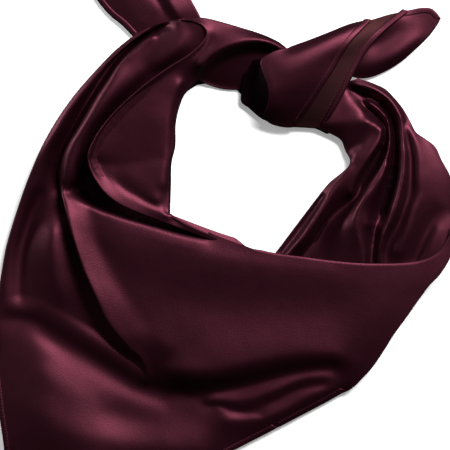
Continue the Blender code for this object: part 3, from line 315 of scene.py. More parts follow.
# Seams and outer edges that bound the sheets, each one shared by the sheets that meet there
LINES = (
    Line("outer outline", 200, (181, 165, 150, 133, 116, 100, 80, 60, 40, 27, 15, 4, 0, -5, -6.5),
         (18.7, 22, 27, 36.5, 50, 66, 88, 115, 150, 180, 213, 250, 272, 305, 325)),
    Line("outer start", 64, (181, 181), (18.7, 20.5)),
    Line("outer seam", 100, (181, 165, 150, 140, 125, 110, 100, 90, 82, 75, 68, 61, 57, 56.5, 60),
         (20.5, 25, 31, 36, 47, 62, 75, 92, 106, 120, 136, 152, 165, 180, 190)),
    Line("panel seam", 100, (60, 66, 74, 84, 96, 108, 128, 141, 145, 141),
         (190, 212, 240, 270, 297, 322, 346, 359, 372, 386.5)),
    Line("under seam", 100, (60, 74, 85, 96, 109, 123, 140, 152, 156, 141),
         (190, 205, 233, 262, 290, 314, 337, 352, 372, 386.5)),
    Line("cross seam start", 64, (-6.5, 12, 30, 48, 80, 115, 141),
         (325, 320, 321.5, 331, 351, 374, 386.5)),
    Line("cross seam end", 218, (141, 170, 205, 240, 262, 276),
         (386.5, 394.5, 404, 412, 417.5, 428.5)),
    Line("loop start", 2, (181, 181), (18.7, 20.5)),
    Line("loop seam", 28, (181, 192, 201, 205.5, 205), (20.5, 22, 26, 33, 37)),
    Line("pocket seam", 32, (205, 203, 190, 170), (37, 41, 54, 67)),
    Line("inner seam", 68, (170, 160, 130, 110, 95, 88, 90), (67, 74, 98, 118, 139, 158, 169)),
    Line("inner seam end", 90, (90, 96, 104, 118, 135, 155, 180, 215, 253),
         (169, 181, 192, 203, 211, 218.5, 228, 241, 252.8)),
    Line("under loop", 28, (181, 193, 204, 209, 209), (20.5, 20.5, 24, 31, 39)),
    Line("under pocket", 32, (209, 206, 195, 176), (39, 46, 60, 73)),
    Line("under fold", 68, (176, 166, 137, 118, 104, 97, 96), (73, 80, 104, 124, 144, 160, 170)),
    Line("under fold end", 90, (96, 104, 112, 124, 139, 158, 183, 217, 253),
         (170, 178, 187, 196.5, 203.5, 211, 221, 236, 249)),
    Line("corner seam", 28, (60, 76, 96), (190, 181, 170)),
    Line("back seam", 50, (205, 203, 197), (37, 58, 79)),
    Line("neck outline", 112, (197, 183, 178, 174, 173, 170, 169, 168),
         (79, 93, 105, 122, 148, 160, 185, 214)),
    Line("neck outline end", 78, (168, 180, 200, 225, 253), (214, 221.5, 231.5, 241, 250.5)),
    Line("neck notch", 50, (253, 253), (252.8, 250.5)),
    Line("panel top outline", 100, (253, 275, 300, 330, 350, 380, 400, 415, 430, 440, 447, 450.5),
         (249, 253.7, 257, 261, 263, 264, 263.5, 262, 257, 250, 240, 226)),
    Line("right outline", 62, (450.5, 454, 446, 437, 425, 410, 395, 383, 370, 360, 352, 345),
         (226, 238, 258, 268, 285, 308, 330, 350, 369, 380, 388, 391.5)),
    Line("hem outline", 38, (345, 330, 300, 276), (391.5, 400, 416, 428.5)),
    Line("lower left outline", 90, (-6.5, -8, -4, 2, 6, 12, 21),
         (325, 350, 400, 440, 475, 515, 558)),
    Line("point hem", 282, (21, 80, 150), (558, 529, 493)),
    Line("lower hem", 90, (276, 238, 150), (428.5, 448, 493)),
    Line("back outline", 60, (181, 200, 225, 240, 255, 268, 278, 286, 292),
         (18.7, 18.4, 24, 28.5, 33, 38, 43, 49.5, 57)),
    Line("back lower outline", 60, (197, 207, 220, 241.5), (79, 84, 88, 89.5)),
    Line("core seam", 80, (292, 268, 250, 244.5, 241.5), (57, 58, 64, 76, 89.5)),
    Line("fan left outline", 150, (316, 330, 341, 345, 350, 328, 300, 275, 264),
         (127, 133, 140, 150, 160, 184, 220, 253, 267)),
    Line("fan right outline", 150, (357, 375, 385, 393, 402, 410, 415, 425, 434, 441, 450, 451),
         (78, 84, 89, 97, 108, 122, 132, 139, 146, 160, 177, 226)),
    Line("fan start", 130, (316, 322, 336, 357), (127, 100, 86, 78)),
    Line("fan end", 130, (264, 300, 340, 380, 415, 430, 442, 449, 451),
         (267, 270, 273, 275, 271, 264, 254, 242, 226)),
    Line("wrap top", 90, (285.5, 310, 330, 350, 370), (49, 40, 32, 24, 19.5)),
    Line("wrap left", 60, (285.5, 272, 260, 263, 267, 268, 262), (49, 53, 62, 76, 88, 100, 117)),
    Line("wrap hem", 60, (370, 360, 350, 340, 330, 320, 310, 301, 294),
         (19.5, 30, 41, 56, 73, 88, 104, 116, 127)),
    Line("wrap bottom", 90, (262, 270, 280, 294), (117, 123, 126, 127)),
    Line("band top", 36, (360, 375, 390, 408), (22.5, 18, 13.5, 10.5)),
    Line("band left", 90, (360, 345, 330, 310, 296, 288), (22.5, 36, 58, 88, 110, 126)),
    Line("band hem", 90, (408, 395, 381, 366, 352, 345, 338, 330, 322),
         (10.5, 20.5, 33, 50, 74, 88, 101, 115, 128)),
    Line("band bottom", 36, (288, 305, 322), (126, 126.8, 128)),
    Line("leaf root", 60, (400, 388, 374, 362, 352, 343), (11, 20, 32, 44, 56, 72)),
    Line("leaf lower outline", 60, (441, 430, 415, 400, 385, 370, 357.5),
         (17.5, 33, 48, 61, 70, 76, 77.8)),
    Line("leaf top outline", 44, (400, 410, 420, 431, 441), (11, 9.5, 7.5, 8, 17.5)),
    Line("leaf bottom", 44, (343, 349, 357.5), (72, 75.3, 77.8)),
    Line("tail left outline", 70, (88, 85, 97, 110, 120, 134.5), (-62, -25, 0, 15, 23, 38)),
    Line("tail right outline", 70, (124, 150, 180, 190, 195, 201), (-57, -45, -20, 0, 9, 20.5)),
    Line("tail start", 56, (88, 106, 124), (-62, -61, -57)),
    Line("tail end", 56, (134.5, 150, 166, 181, 201), (38, 29.5, 24.5, 21, 20.5)),
    Line("core left", 30, (247, 242, 240.5, 241, 246), (62, 76, 91, 102, 106)),
    Line("core right", 30, (272, 280, 283, 283, 282), (60, 72, 88, 104, 125)),
    Line("core start", 24, (247, 258, 272), (62, 59, 60)),
    Line("core bottom", 24, (246, 262, 282), (106, 119, 125)),
)

OUTER = Patch(("outer outline",), ("outer seam", "under seam"), ("outer start",),
              ("cross seam start",))
MIDDLE = Patch(("outer seam",), ("under pocket", "under fold"), ("under loop",), ("corner seam",))
PANEL = Patch(("panel seam",), ("right outline", "hem outline"),
              ("corner seam", "under fold end", "panel top outline"), ("cross seam end",))
LOWER = Patch(("cross seam start", "cross seam end"), ("point hem",), ("lower left outline",),
              ("lower hem",))
INNER = Patch(("neck outline", "neck outline end"),
              ("pocket seam", "inner seam", "inner seam end"), ("back seam",), ("neck notch",))
BACK = Patch(("back outline",), ("back lower outline",), ("loop start", "loop seam", "back seam"),
             ("core seam",))
FAN = Patch(("fan left outline",), ("fan right outline",), ("fan start",), ("fan end",))
CORE = Patch(("core left",), ("core right",), ("core start",), ("core bottom",))
BAND = Patch(("band left",), ("band hem",), ("band top",), ("band bottom",))
WRAP = Patch(("wrap top",), ("wrap bottom",), ("wrap left",), ("wrap hem",))
LEAF = Patch(("leaf root",), ("leaf lower outline",), ("leaf top outline",), ("leaf bottom",))
TAIL = Patch(("tail left outline",), ("tail right outline",), ("tail start",), ("tail end",))


def smooth_run(points):
    """Points along a smooth curve through the given ones, about CURVE_STEP apart."""
    points = np.asarray(points, dtype=float)
    spans = np.linalg.norm(np.diff(points[:, :2], axis=0), axis=1)
    rates = np.diff(points, axis=0) / spans[:, None]
    tangents = np.empty_like(points)
    tangents[0] = rates[0]
    tangents[-1] = rates[-1]
    before = spans[:-1, None]
    after = spans[1:, None]
    tangents[1:-1] = (rates[:-1] * after + rates[1:] * before) / (before + after)
    pieces = []
    for index, span in enumerate(spans):
        count = max(2, int(np.ceil(span / CURVE_STEP)))
        t = np.linspace(0.0, 1.0, count, endpoint=False)[:, None]
        pieces.append(
            (2 * t**3 - 3 * t**2 + 1) * points[index]
            + (t**3 - 2 * t**2 + t) * span * tangents[index]
            + (3 * t**2 - 2 * t**3) * points[index + 1]
            + (t**3 - t**2) * span * tangents[index + 1]
        )
    pieces.append(points[-1:])
    return np.vstack(pieces)


def lengths_along(points):
    """Length from the first point to each one."""
    steps = np.linalg.norm(np.diff(points, axis=0), axis=1)
    return np.concatenate([[0.0], np.cumsum(steps)])


def at_lengths(points, lengths, wanted):
    """Points at the wanted lengths along a run."""
    return np.column_stack([np.interp(wanted, lengths, axis) for axis in points.T])


def evenly_spaced(line):
    """The line's curve as evenly spaced places, one more than its cells."""
    run = smooth_run(np.column_stack([line.across, line.down]))
    lengths = lengths_along(run)
    return at_lengths(run, lengths, np.linspace(0.0, lengths[-1], line.cells + 1))


RUNS = {line.name: evenly_spaced(line) for line in LINES}
CELLS = {line.name: line.cells for line in LINES}


def blurred(grid, softness):
    """The grid with a Gaussian blur along both of its axes, softness in millimetres."""
    cells = softness / FIELD_PITCH
    reach = int(np.ceil(BLUR_REACH * cells))
    weights = np.exp(-0.5 * (np.arange(-reach, reach + 1) / cells) ** 2)
    weights /= weights.sum()
    for axis in (0, 1):
        width = [(0, 0), (0, 0)]
        width[axis] = (reach, reach)
        edged = np.pad(grid, width, mode="edge")
        grid = np.apply_along_axis(np.convolve, axis, edged, weights, mode="valid")
    return grid


def soft_waves(shape):
    """Uneven soft waves over the grid, the same each run."""
    chance = np.random.default_rng(WAVE_SEED)
    total = np.zeros(shape)
    for size, height in WAVES:
        waves = blurred(chance.standard_normal(shape), size / WAVE_SIZE_PER_BLUR)
        total += waves * height / waves.std()
    return total


def relaxed(runs, pitch):
    """Heights and roundings on a grid, fixed along the folds and even between them."""
    left, top, right, bottom = LAYOUT_BOX
    columns = int(round((right - left) / pitch)) + 1
    rows = int(round((bottom - top) / pitch)) + 1
    total = np.zeros((rows, columns, 2))
    count = np.zeros((rows, columns))
    for run, rounding in runs:
        column = np.clip(np.round((run[:, 0] - left) / pitch).astype(int), 0, columns - 1)
        row = np.clip(np.round((run[:, 1] - top) / pitch).astype(int), 0, rows - 1)
        np.add.at(total[..., 0], (row, column), run[:, 2])
        np.add.at(total[..., 1], (row, column), rounding)
        np.add.at(count, (row, column), 1.0)
    fixed = count > 0
    if pitch * 2 <= COARSEST_PITCH:
        coarse = relaxed(runs, pitch * 2)
        row = np.minimum(np.arange(rows) // 2, coarse.shape[0] - 1)
        column = np.minimum(np.arange(columns) // 2, coarse.shape[1] - 1)
        grid = coarse[np.ix_(row, column)]
    else:
        grid = np.tile(total.sum(axis=(0, 1)) / count.sum(), (rows, columns, 1))
    grid[fixed] = total[fixed] / count[fixed][:, None]
    parity = np.add.outer(np.arange(rows), np.arange(columns)) % 2
    turns = [(RELAX_RATE * (~fixed & (parity == turn)))[..., None] for turn in (0, 1)]
    for _ in range(RELAX_PASSES):
        for turn in turns:
            edged = np.pad(grid, ((1, 1), (1, 1), (0, 0)), mode="edge")
            sides = edged[:-2, 1:-1] + edged[2:, 1:-1] + edged[1:-1, :-2] + edged[1:-1, 2:]
            grid += turn * (sides / 4 - grid)
    return grid


def rounded(taut, level):
    """The taut cloth rounded at its folds, each by its own amount."""
    stack = np.array([blurred(taut, softness) for softness in ROUNDINGS])
    lower = level.astype(int)
    share = level - lower
    row, column = np.indices(taut.shape)
    return stack[lower, row, column] * (1 - share) + stack[lower + 1, row, column] * share


class Relief:
    """Height of the cloth drawn taut between its folds and rounded at each, over the layout."""

    def __init__(self, folds):
        runs = [(smooth_run(np.column_stack([fold.across, fold.down, fold.height])), fold.rounding)
                for fold in folds]
        fields = relaxed(runs, FIELD_PITCH)
        taut = fields[..., 0]
        level = np.log2(np.maximum(fields[..., 1], ROUNDINGS[0]) / ROUNDINGS[0])
        level = np.clip(blurred(level, ROUNDING_BLUR), 0.0, len(ROUNDINGS) - LAST_CELL)
        self.grid = rounded(taut, level)
        for _ in range(SWELL_ROUNDS):
            missing = []
            for run, rounding in runs:
                loss = SWELL_SHARE * (run[:, 2] - self(run[:, :2]))
                missing.append((np.column_stack([run[:, :2], loss]), rounding))
            taut = taut + relaxed(missing, FIELD_PITCH)[..., 0]
            self.grid = rounded(taut, level)
        self.grid = self.grid + soft_waves(taut.shape)

    def __call__(self, places):
        """Height at each place."""
        left, top = LAYOUT_BOX[:2]
        rows, columns = self.grid.shape
        across = np.clip((places[..., 0] - left) / FIELD_PITCH, 0, columns - LAST_CELL)
        down = np.clip((places[..., 1] - top) / FIELD_PITCH, 0, rows - LAST_CELL)
        column = across.astype(int)
        row = down.astype(int)
        u = across - column
        v = down - row
        upper = self.grid[row, column] * (1 - u) + self.grid[row, column + 1] * u
        lower = self.grid[row + 1, column] * (1 - u) + self.grid[row + 1, column + 1] * u
        return upper * (1 - v) + lower * v


def side_of(names, start):
    """Join the named lines into one side, turning each so that it goes on from the last."""
    side = [np.asarray(start, dtype=float)]
    for name in names:
        run = RUNS[name]
        if np.linalg.norm(run[-1] - side[-1]) < np.linalg.norm(run[0] - side[-1]):
            run = run[::-1]
        side.extend(run[1:])
    return np.array(side)


def side_net(patch):
    """Places over the patch, blended from its four sides: rows run along, columns run over."""
    first_start = RUNS[patch.start[0]]
    first_near = RUNS[patch.near[0]]
    ends = [first_near[0], first_near[-1]]
    gaps = [min(np.linalg.norm(end - first_start[0]), np.linalg.norm(end - first_start[-1]))
            for end in ends]
    corner = ends[int(np.argmin(gaps))]
    near = side_of(patch.near, corner)
    start = side_of(patch.start, corner)
    far = side_of(patch.far, start[-1])
    end = side_of(patch.end, near[-1])
    along = np.linspace(0.0, 1.0, len(near))[:, None, None]
    over = np.linspace(0.0, 1.0, len(start))[None, :, None]
    ruled_over = (1 - over) * near[:, None, :] + over * far[:, None, :]
    ruled_along = (1 - along) * start[None, :, :] + along * end[None, :, :]
    corners = (
        (1 - along) * ((1 - over) * near[0] + over * far[0])
        + along * ((1 - over) * near[-1] + over * far[-1])
    )
    return ruled_over + ruled_along - corners


def raised(places, heights):
    """Places and heights as one array of layout points."""
    return np.concatenate([places, heights[..., None]], axis=-1)


def to_world(points):
    """Layout points as metres in the part's own frame, clear of the surface below."""
    x = (points[..., 0] - LAYOUT_MIDDLE[0]) * MM
    y = (LAYOUT_MIDDLE[1] - points[..., 1]) * MM
    z = np.maximum(points[..., 2], FLOOR_CLEARANCE) * MM
    return np.stack([x, y, z], axis=-1)


# Where a net's border on each side is among its row and column indices
BORDERS = {"near": np.s_[:, :, 0], "far": np.s_[:, :, -1],
           "start": np.s_[:, 0], "end": np.s_[:, -1]}
INWARD = 2  # cells from the border to a place that is surely inside
TINY = 1e-9


def border_run(net, patch, side, line=None):
    """Row and column indices of the net's border along a side, or along one line of it."""
    run = np.indices(net.shape[:2])[BORDERS[side]]
    if line is None:
        return tuple(run)
    names = getattr(patch, side)
    first = sum(CELLS[name] for name in names[:names.index(line)])
    return tuple(run[:, first:first + CELLS[line] + 1])


def outward_of(net, run):
    """The run's places, and unit directions in plan that point off the sheet, square to it."""
    places = net[run]
    tangent = np.gradient(places, axis=0)
    square = np.column_stack([-tangent[:, 1], tangent[:, 0]])
    square /= np.maximum(np.linalg.norm(square, axis=1), TINY)[:, None]
    inner = net[tuple(np.clip(index, INWARD, count - 1 - INWARD)
                      for index, count in zip(run, net.shape))]
    if np.sum((places - inner) * square) <= 0:
        square = -square
    # The ends of a run turn round its corners, so they take the direction just inside them
    square[:2] = square[2]
    square[-2:] = square[-3]
    return places, square


# From its ends a rim reaches in under the sheet more and more, over RIM_TAPER millimetres
RIM_TAPER = 22.0
RIM_LEAST = 0.02
LIP_GROWTH = 4  # a lip stands out this many times sooner than it reaches in
LOOP_REACH = 0.15  # how far the loop's lip reaches in, against other lips

# Each row of a rim: how far out and how high, as shares of the edge's height, or how far out
# and how far below the edge in millimetres
ROLLED_RIM = ((0.04, 0.80), (0.05, 0.55), (0.0, 0.30), (-0.16, 0.10), (-0.5, 0.02))
LIP_RIM = ((0.5, -0.5), (0.7, -1.3), (0.3, -2.2), (-1.2, -2.9), (-4.0, -3.8), (-9.0, -5.5))


def end_taper(places):
    """Nearly 0 at the ends of a run and 1 inside it."""
    along = lengths_along(places)
    return np.clip(np.minimum(along, along[-1] - along) / RIM_TAPER, RIM_LEAST, 1.0)


def rolled(top, taper):
    """Reach and height of each row where cloth rolls down to the surface and in under itself."""
    return [(out * top * (taper if out < 0 else 1.0), top * share) for out, share in ROLLED_RIM]


def lipped(top, taper):
    """Reach and height of each row of a folded edge: cloth turns under itself just below it."""
    stand = np.minimum(taper * LIP_GROWTH, 1.0)
    return [(out * (taper if out < 0 else stand), top + drop) for out, drop in LIP_RIM]


def rim_grid(net, heights, run, kind, reach_in):
    """The rim of one kind along a run of the net's border."""
    places, outward = outward_of(net, run)
    top = heights[run]
    rows = [raised(places, top)]
    for reach, height in kind(top, end_taper(places) * reach_in):
        rows.append(raised(places + outward * reach[:, None], height))
    return np.array(rows)


# Each row of a hem: how far in from the edge, then how high over the sheet, in millimetres
HEM_ROWS = ((-0.35, -0.7), (-0.45, -0.1), (0.0, 0.35), (0.8, 0.5), (4.0, 0.45), (4.8, 0.3),
            (5.3, -0.1))
HEM_TAPER = 7.0  # a hem has its width this many times sooner than a rim has its reach
ONE_ROW = (3.7,)  # how far in from the edge the stitches run
TWO_ROWS = (2.6, 6.4)
STITCH_EVERY = 3.2
STITCH_HALF = (1.05, 0.3, 0.28)  # half the length, width and height of a stitch
STITCH_RISE = 0.5
STITCH_LOOK_AHEAD = 0.5  # a stitch points to the place this far on
Hem = namedtuple("Hem", "patch side line insets", defaults=(None, ONE_ROW))
Rim = namedtuple("Rim", "kind side line reach_in", defaults=(None, 1.0))


def hem_rows(places, outward, height_of):
    """A narrow turned hem on the sheet, along its edge; it narrows at its ends."""
    width = np.minimum(end_taper(places) * HEM_TAPER, 1.0)[:, None]
    rows = []
    for inset, rise in HEM_ROWS:
        inner = places - outward * max(inset, 0.0) * width
        rows.append(raised(places - outward * inset * width, height_of(inner) + rise))
    return np.array(rows)


def stitches_along(places, outward, height_of, inset):
    """Corner points of the stitches that hold a hem: each one a small long diamond."""
    line = places - outward * inset
    points = raised(line, height_of(line) + STITCH_RISE)
    lengths = lengths_along(points)
    wanted = np.arange(STITCH_EVERY, lengths[-1] - STITCH_EVERY, STITCH_EVERY)
    centres = at_lengths(points, lengths, wanted)
    along = at_lengths(points, lengths, wanted + STITCH_LOOK_AHEAD) - centres
    along /= np.linalg.norm(along, axis=1)[:, None]
    aside = np.column_stack([-along[:, 1], along[:, 0], np.zeros(len(along))])
    half_length, half_width, half_height = STITCH_HALF
    along *= half_length
    aside *= half_width
    up = np.array([0.0, 0.0, half_height])
    return np.stack([centres - along, centres + aside, centres + up, centres - aside,
                     centres - up, centres + along], axis=1)


# Points this close are welded, and shorter edges than a sliver go
WELD = 0.02 * MM
SLIVER = 0.005 * MM


def linked(name, data):
    """A new object of the scene from its data."""
    piece = bpy.data.objects.new(name, data)
    bpy.context.scene.collection.objects.link(piece)
    return piece


def mesh_object(name, vertices, faces, material):
    """A smooth mesh piece from world points and faces."""
    mesh = bpy.data.meshes.new(name)
    mesh.from_pydata(vertices.tolist(), [], faces)
    mesh.materials.append(material)
    mesh.shade_smooth()
    return linked(name, mesh)


def sheet_object(name, grids, material):
    """One sheet from grids of layout points, welded where their points meet."""
    vertices = []
    faces = []
    offset = 0
    for grid in grids:
        rows, columns = grid.shape[:2]
        index = offset + np.arange(rows * columns).reshape(rows, columns)
        quads = np.stack([index[:-1, :-1], index[1:, :-1], index[1:, 1:], index[:-1, 1:]], axis=-1)
        faces.extend(quads.reshape(-1, 4).tolist())
        vertices.append(grid.reshape(-1, 3))
        offset += rows * columns
    piece = mesh_object(name, to_world(np.vstack(vertices)), faces, material)
    welded = bmesh.new()
    welded.from_mesh(piece.data)
    bmesh.ops.remove_doubles(welded, verts=welded.verts[:], dist=WELD)
    bmesh.ops.dissolve_degenerate(welded, edges=welded.edges[:], dist=SLIVER)
    bmesh.ops.recalc_face_normals(welded, faces=welded.faces[:])
    if sum(face.normal.z * face.calc_area() for face in welded.faces) < 0:
        bmesh.ops.reverse_faces(welded, faces=welded.faces[:])
    welded.to_mesh(piece.data)
    welded.free()
    piece.data.shade_smooth()
    return piece


def stitch_object(name, corners, material):
    """All stitches of a hem as one mesh."""
    ring = (1, 2, 3, 4)
    size = corners.shape[1]
    faces = []
    for first in range(0, size * len(corners), size):
        for here, there in zip(ring, ring[1:] + ring[:1]):
            faces.append((first, first + there, first + here))
            faces.append((first + size - 1, first + here, first + there))
    return mesh_object(name, to_world(corners.reshape(-1, 3)), faces, material)


# The satin's blotches of colour and its grain; scales are cells to a metre
BLOTCH_SCALE, BLOTCH_DETAIL = 28.0, 3.0
BLOTCH_TINTS = ((0.3, 0.82), (0.7, 1.12))  # where on the noise, then how much of the tint
GRAIN_SCALE, GRAIN_DETAIL = 1100.0, 2.0
ROUGHNESS_SPREAD = 0.05
GRAIN_STRENGTH, GRAIN_DEPTH = 0.4, 0.0004


def satin(name, tint, gloss_tint, roughness):
    """Dark satin: a tinted, rather broad gloss with fine grain and uneven colour."""
    material = bpy.data.materials.new(name)
    material.use_nodes = True
    nodes = material.node_tree.nodes
    links = material.node_tree.links
    shader = nodes["Principled BSDF"]
    shader.inputs["Specular Tint"].default_value = (*gloss_tint, 1.0)
    coordinates = nodes.new("ShaderNodeTexCoord")

    def noise(scale, detail):
        """Soft chance values over the cloth."""
        texture = nodes.new("ShaderNodeTexNoise")
        texture.inputs["Scale"].default_value = scale
        texture.inputs["Detail"].default_value = detail
        links.new(coordinates.outputs["Object"], texture.inputs["Vector"])
        return texture.outputs["Fac"]

    colours = nodes.new("ShaderNodeValToRGB")
    for stop, (position, share) in zip(colours.color_ramp.elements, BLOTCH_TINTS):
        stop.position = position
        stop.color = (*[share * part for part in tint], 1.0)
    links.new(noise(BLOTCH_SCALE, BLOTCH_DETAIL), colours.inputs["Fac"])
    links.new(colours.outputs["Color"], shader.inputs["Base Color"])
    grain = noise(GRAIN_SCALE, GRAIN_DETAIL)
    gloss = nodes.new("ShaderNodeMapRange")
    gloss.inputs["To Min"].default_value = roughness - ROUGHNESS_SPREAD
    gloss.inputs["To Max"].default_value = roughness + ROUGHNESS_SPREAD
    links.new(grain, gloss.inputs["Value"])
    links.new(gloss.outputs["Result"], shader.inputs["Roughness"])
    bump = nodes.new("ShaderNodeBump")
    bump.inputs["Strength"].default_value = GRAIN_STRENGTH
    bump.inputs["Distance"].default_value = GRAIN_DEPTH
    links.new(grain, bump.inputs["Height"])
    links.new(bump.outputs["Normal"], shader.inputs["Normal"])
    return material


SATIN = satin("scarf_satin", (0.004, 0.0006, 0.0016), (0.95, 0.20, 0.335), 0.45)
THREAD = satin("scarf_thread", (0.045, 0.012, 0.02), (0.95, 0.40, 0.50), 0.5)
# A darker copy of the same satin for the knot's loop and the hidden layers: painted shade, standing
# in for the shadow they lie in
SATIN_WITH_PAINTED_SHADE = satin("scarf_satin_in_the_knot", (0.0015, 0.0003, 0.0007), (0.16, 0.04, 0.07), 0.5)
WARM = satin("scarf_satin_wrong_side", (0.008, 0.0025, 0.003), (0.50, 0.15, 0.17), 0.6)

MAIN = Relief(MAIN_FOLDS)
OUTSIDE = Relief(OUTER_FOLDS)
INSIDE = Relief(INNER_FOLDS)
FAN_RELIEF = Relief(FAN_FOLDS)
TIED = Relief(TIED_FOLDS)
LEAF_RELIEF = Relief(LEAF_FOLDS)
TAIL_RELIEF = Relief(LEFT_TAIL_FOLDS)
CORE_RELIEF = Relief(CORE_FOLDS)

# Shares of the outer sheet's rows over which it sinks under the panel and comes back up, and
# the share of its columns beyond which it meets the main sheet
UNDER_ROWS = (0.48, 0.56, 0.93, 0.99)
SEAM_COLUMNS = 0.8
WRAP_LIFT = 3.0  # of the wrap above the band

# Where the opening's edge turns in at the fan, the hidden layers are drawn back
NOTCH = Vector((334.0, 154.0))
NOTCH_RADIUS = 22.0


def eased(low, high, values):
    """Zero below low, one above high, smooth between."""
    t = np.clip((values - low) / (high - low), 0.0, 1.0)
    return t * t * (3 - 2 * t)


def outer_height(net):
    """The outer sheet's own height, and the main sheet's where the two meet."""
    share = np.linspace(0.0, 1.0, len(net))[:, None]
    over = np.linspace(0.0, 1.0, net.shape[1])[None, :]
    joined = eased(SEAM_COLUMNS, 1.0, over) * (1 - eased(UNDER_ROWS[0], UNDER_ROWS[1], share))
    joined = np.maximum(joined, eased(UNDER_ROWS[2], UNDER_ROWS[3], share))
    return MAIN(net) * joined + OUTSIDE(net) * (1 - joined)


def wrap_height(places):
    """The wrap lies on the band."""
    return TIED(places) + WRAP_LIFT


def patch_grids(patch, height_of, *rims):
    """The patch's net, raised, and its rims."""
    net = side_net(patch)
    heights = height_of(net)
    grids = [raised(net, heights)]
    for rim in rims:
        run = border_run(net, patch, rim.side, rim.line)
        grids.append(rim_grid(net, heights, run, rim.kind, rim.reach_in))
    return grids


def place(piece, replaced=()):
    """The piece rides on the scarf's one body and stands for its nodes."""
    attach(piece, "root")
    if replaced:
        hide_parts(*replaced)
    return piece


def cloth(name, grids, material, slot, *replaced):
    """A sheet of cloth that stands for some nodes."""
    return place(sheet_object(name, grids, material), replaced)


def hem_pieces(name, height_of, *hems):
    """The hems of one sheet and their stitches, as two pieces."""
    grids = []
    corners = []
    for hem in hems:
        net = side_net(hem.patch)
        places, outward = outward_of(net, border_run(net, hem.patch, hem.side, hem.line))
        grids.append(hem_rows(places, outward, height_of))
        corners.extend(stitches_along(places, outward, height_of, inset) for inset in hem.insets)
    turned = sheet_object(name + "_hem", grids, SATIN)
    sewn = stitch_object(name + "_stitches", np.concatenate(corners), THREAD)
    return [place(turned), place(sewn)]


def hidden_layers():
    """The hidden layers' solid in satin darkened with painted shade, drawn back at the notch."""
    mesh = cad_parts["under_layers"].data.copy()
    mesh.materials.clear()
    mesh.materials.append(SATIN_WITH_PAINTED_SHADE)
    for vertex in mesh.vertices:
        at = Vector((vertex.co.x / MM + LAYOUT_MIDDLE[0], LAYOUT_MIDDLE[1] - vertex.co.y / MM))
        away = at - NOTCH
        if 0 < away.length < NOTCH_RADIUS:
            at = NOTCH + away.normalized() * NOTCH_RADIUS
            vertex.co.x = (at.x - LAYOUT_MIDDLE[0]) * MM
            vertex.co.y = (LAYOUT_MIDDLE[1] - at.y) * MM
    return place(linked("hidden_layers", mesh), ("under_layers",))


drape = cloth(
    "drape",
    patch_grids(OUTER, outer_height, Rim(rolled, "near"))
    + patch_grids(MIDDLE, MAIN)
    + patch_grids(PANEL, MAIN, Rim(lipped, "near"),
                  Rim(lipped, "start", "panel top outline"), Rim(rolled, "far"))
    + patch_grids(LOWER, MAIN, Rim(rolled, "start"), Rim(rolled, "far"),
                  Rim(rolled, "end")),
    SATIN, "satin", "left_outer_fold", "left_middle_fold", "front_panel", "lower_front")
inner = cloth(
    "inner_sheet",
    patch_grids(INNER, INSIDE, Rim(rolled, "near"), Rim(lipped, "far"))
    + patch_grids(BACK, INSIDE, Rim(rolled, "near"), Rim(rolled, "far"),
                  Rim(lipped, "start", "loop seam", LOOP_REACH)),
    SATIN, "satin", "left_inner_fold", "back_stretch")
hidden = hidden_layers()
fan = cloth(
    "fan",
    patch_grids(FAN, FAN_RELIEF, Rim(rolled, "near"), Rim(rolled, "far")),
    SATIN, "satin", "right_stretch")
# The knot's loop in satin darkened with painted shade
core = cloth(
    "knot_loop",
    patch_grids(CORE, CORE_RELIEF, Rim(rolled, "near")),
    SATIN_WITH_PAINTED_SHADE, "satin_in_the_knot", "knot_core")
band = cloth(
    "knot_band",
    patch_grids(BAND, TIED, Rim(lipped, "far"), Rim(lipped, "end")),
    WARM, "satin_wrong_side", "right_tail_second_ply")
wrap = cloth(
    "knot_wrap",
    patch_grids(WRAP, wrap_height, Rim(lipped, "near"), Rim(lipped, "start"),
                Rim(lipped, "end"), Rim(lipped, "far")),
    SATIN, "satin", "right_tail_upper_ply")
leaf = cloth(
    "tail_leaf",
    patch_grids(LEAF, LEAF_RELIEF, Rim(lipped, "far"), Rim(lipped, "start")),
    SATIN, "satin", "right_tail_leaf", "right_tail_under_ply")
tail = cloth(
    "left_tail_cloth",
    patch_grids(TAIL, TAIL_RELIEF, Rim(lipped, "near"), Rim(lipped, "far"),
                Rim(lipped, "start")),
    SATIN, "satin", "left_tail", "left_tail_under_ply")

drape_hem = hem_pieces("drape", MAIN, Hem(LOWER, "start"), Hem(LOWER, "far"),
                       Hem(LOWER, "end"), Hem(PANEL, "far", "hem outline"))
wrap_hem = hem_pieces("knot_wrap", wrap_height, Hem(WRAP, "end"))
band_hem = hem_pieces("knot_band", TIED, Hem(BAND, "far", insets=TWO_ROWS))
leaf_hem = hem_pieces("tail_leaf", LEAF_RELIEF, Hem(LEAF, "start"))
tail_hem = hem_pieces("left_tail", TAIL_RELIEF, Hem(TAIL, "near"))

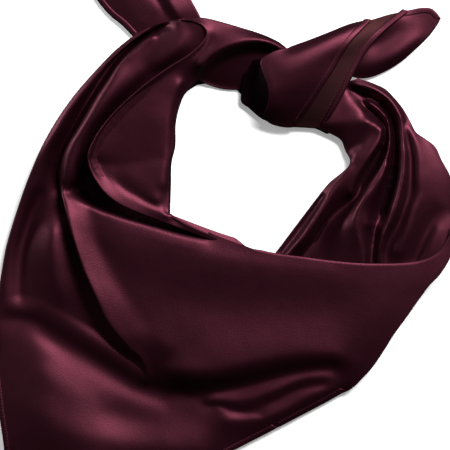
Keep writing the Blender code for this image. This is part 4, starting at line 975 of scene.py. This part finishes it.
FLOOR_REACH = 4.0
FLOOR_COLOUR = (0.86, 0.86, 0.86, 1.0)
FLOOR_ROUGHNESS = 0.9
FLOOR_GLOW = 0.30
WHITE = (1.0, 1.0, 1.0, 1.0)
ROOM_LIGHT = 0.05
CAMERA_PLACE = (0.001, 0.023, 2.515)
CAMERA_SENSOR = 36.0
CAMERA_LENS = 200.0


def pale_floor():
    """A plain pale floor that the satin doesn't mirror."""
    mesh = bpy.data.meshes.new("floor")
    signs = ((-1, -1), (1, -1), (1, 1), (-1, 1))
    mesh.from_pydata([(x * FLOOR_REACH, y * FLOOR_REACH, 0) for x, y in signs], [], [(0, 1, 2, 3)])
    paper = bpy.data.materials.new("pale_floor")
    paper.use_nodes = True
    inputs = paper.node_tree.nodes["Principled BSDF"].inputs
    inputs["Base Color"].default_value = FLOOR_COLOUR
    inputs["Roughness"].default_value = FLOOR_ROUGHNESS
    inputs["Emission Color"].default_value = WHITE
    inputs["Emission Strength"].default_value = FLOOR_GLOW
    mesh.materials.append(paper)
    piece = linked("floor", mesh)
    piece.visible_glossy = False
    piece.visible_diffuse = False
    return piece


def area_light(name, at, size, energy):
    """A soft light that points to the middle of the scarf."""
    data = bpy.data.lights.new(name, "AREA")
    data.shape = "RECTANGLE"
    data.size, data.size_y = size
    data.energy = energy
    lamp = linked(name, data)
    lamp.location = at
    lamp.rotation_euler = (-Vector(at)).to_track_quat("-Z", "Y").to_euler()


floor = pale_floor()
area_light("key", at=(1.3, 1.9, 2.0), size=(1.6, 1.0), energy=220.0)
area_light("low side light", at=(-2.3, 1.4, 0.6), size=(1.0, 0.4), energy=55.0)

world = bpy.data.worlds.new("room")
world.use_nodes = True
background = world.node_tree.nodes["Background"].inputs
background["Color"].default_value = WHITE
background["Strength"].default_value = ROOM_LIGHT
bpy.context.scene.world = world
bpy.context.scene.view_settings.view_transform = "Standard"

camera_data = bpy.data.cameras.new("camera")
camera_data.sensor_width = CAMERA_SENSOR
camera_data.lens = CAMERA_LENS
camera = linked("camera", camera_data)
camera.location = CAMERA_PLACE
bpy.context.scene.camera = camera
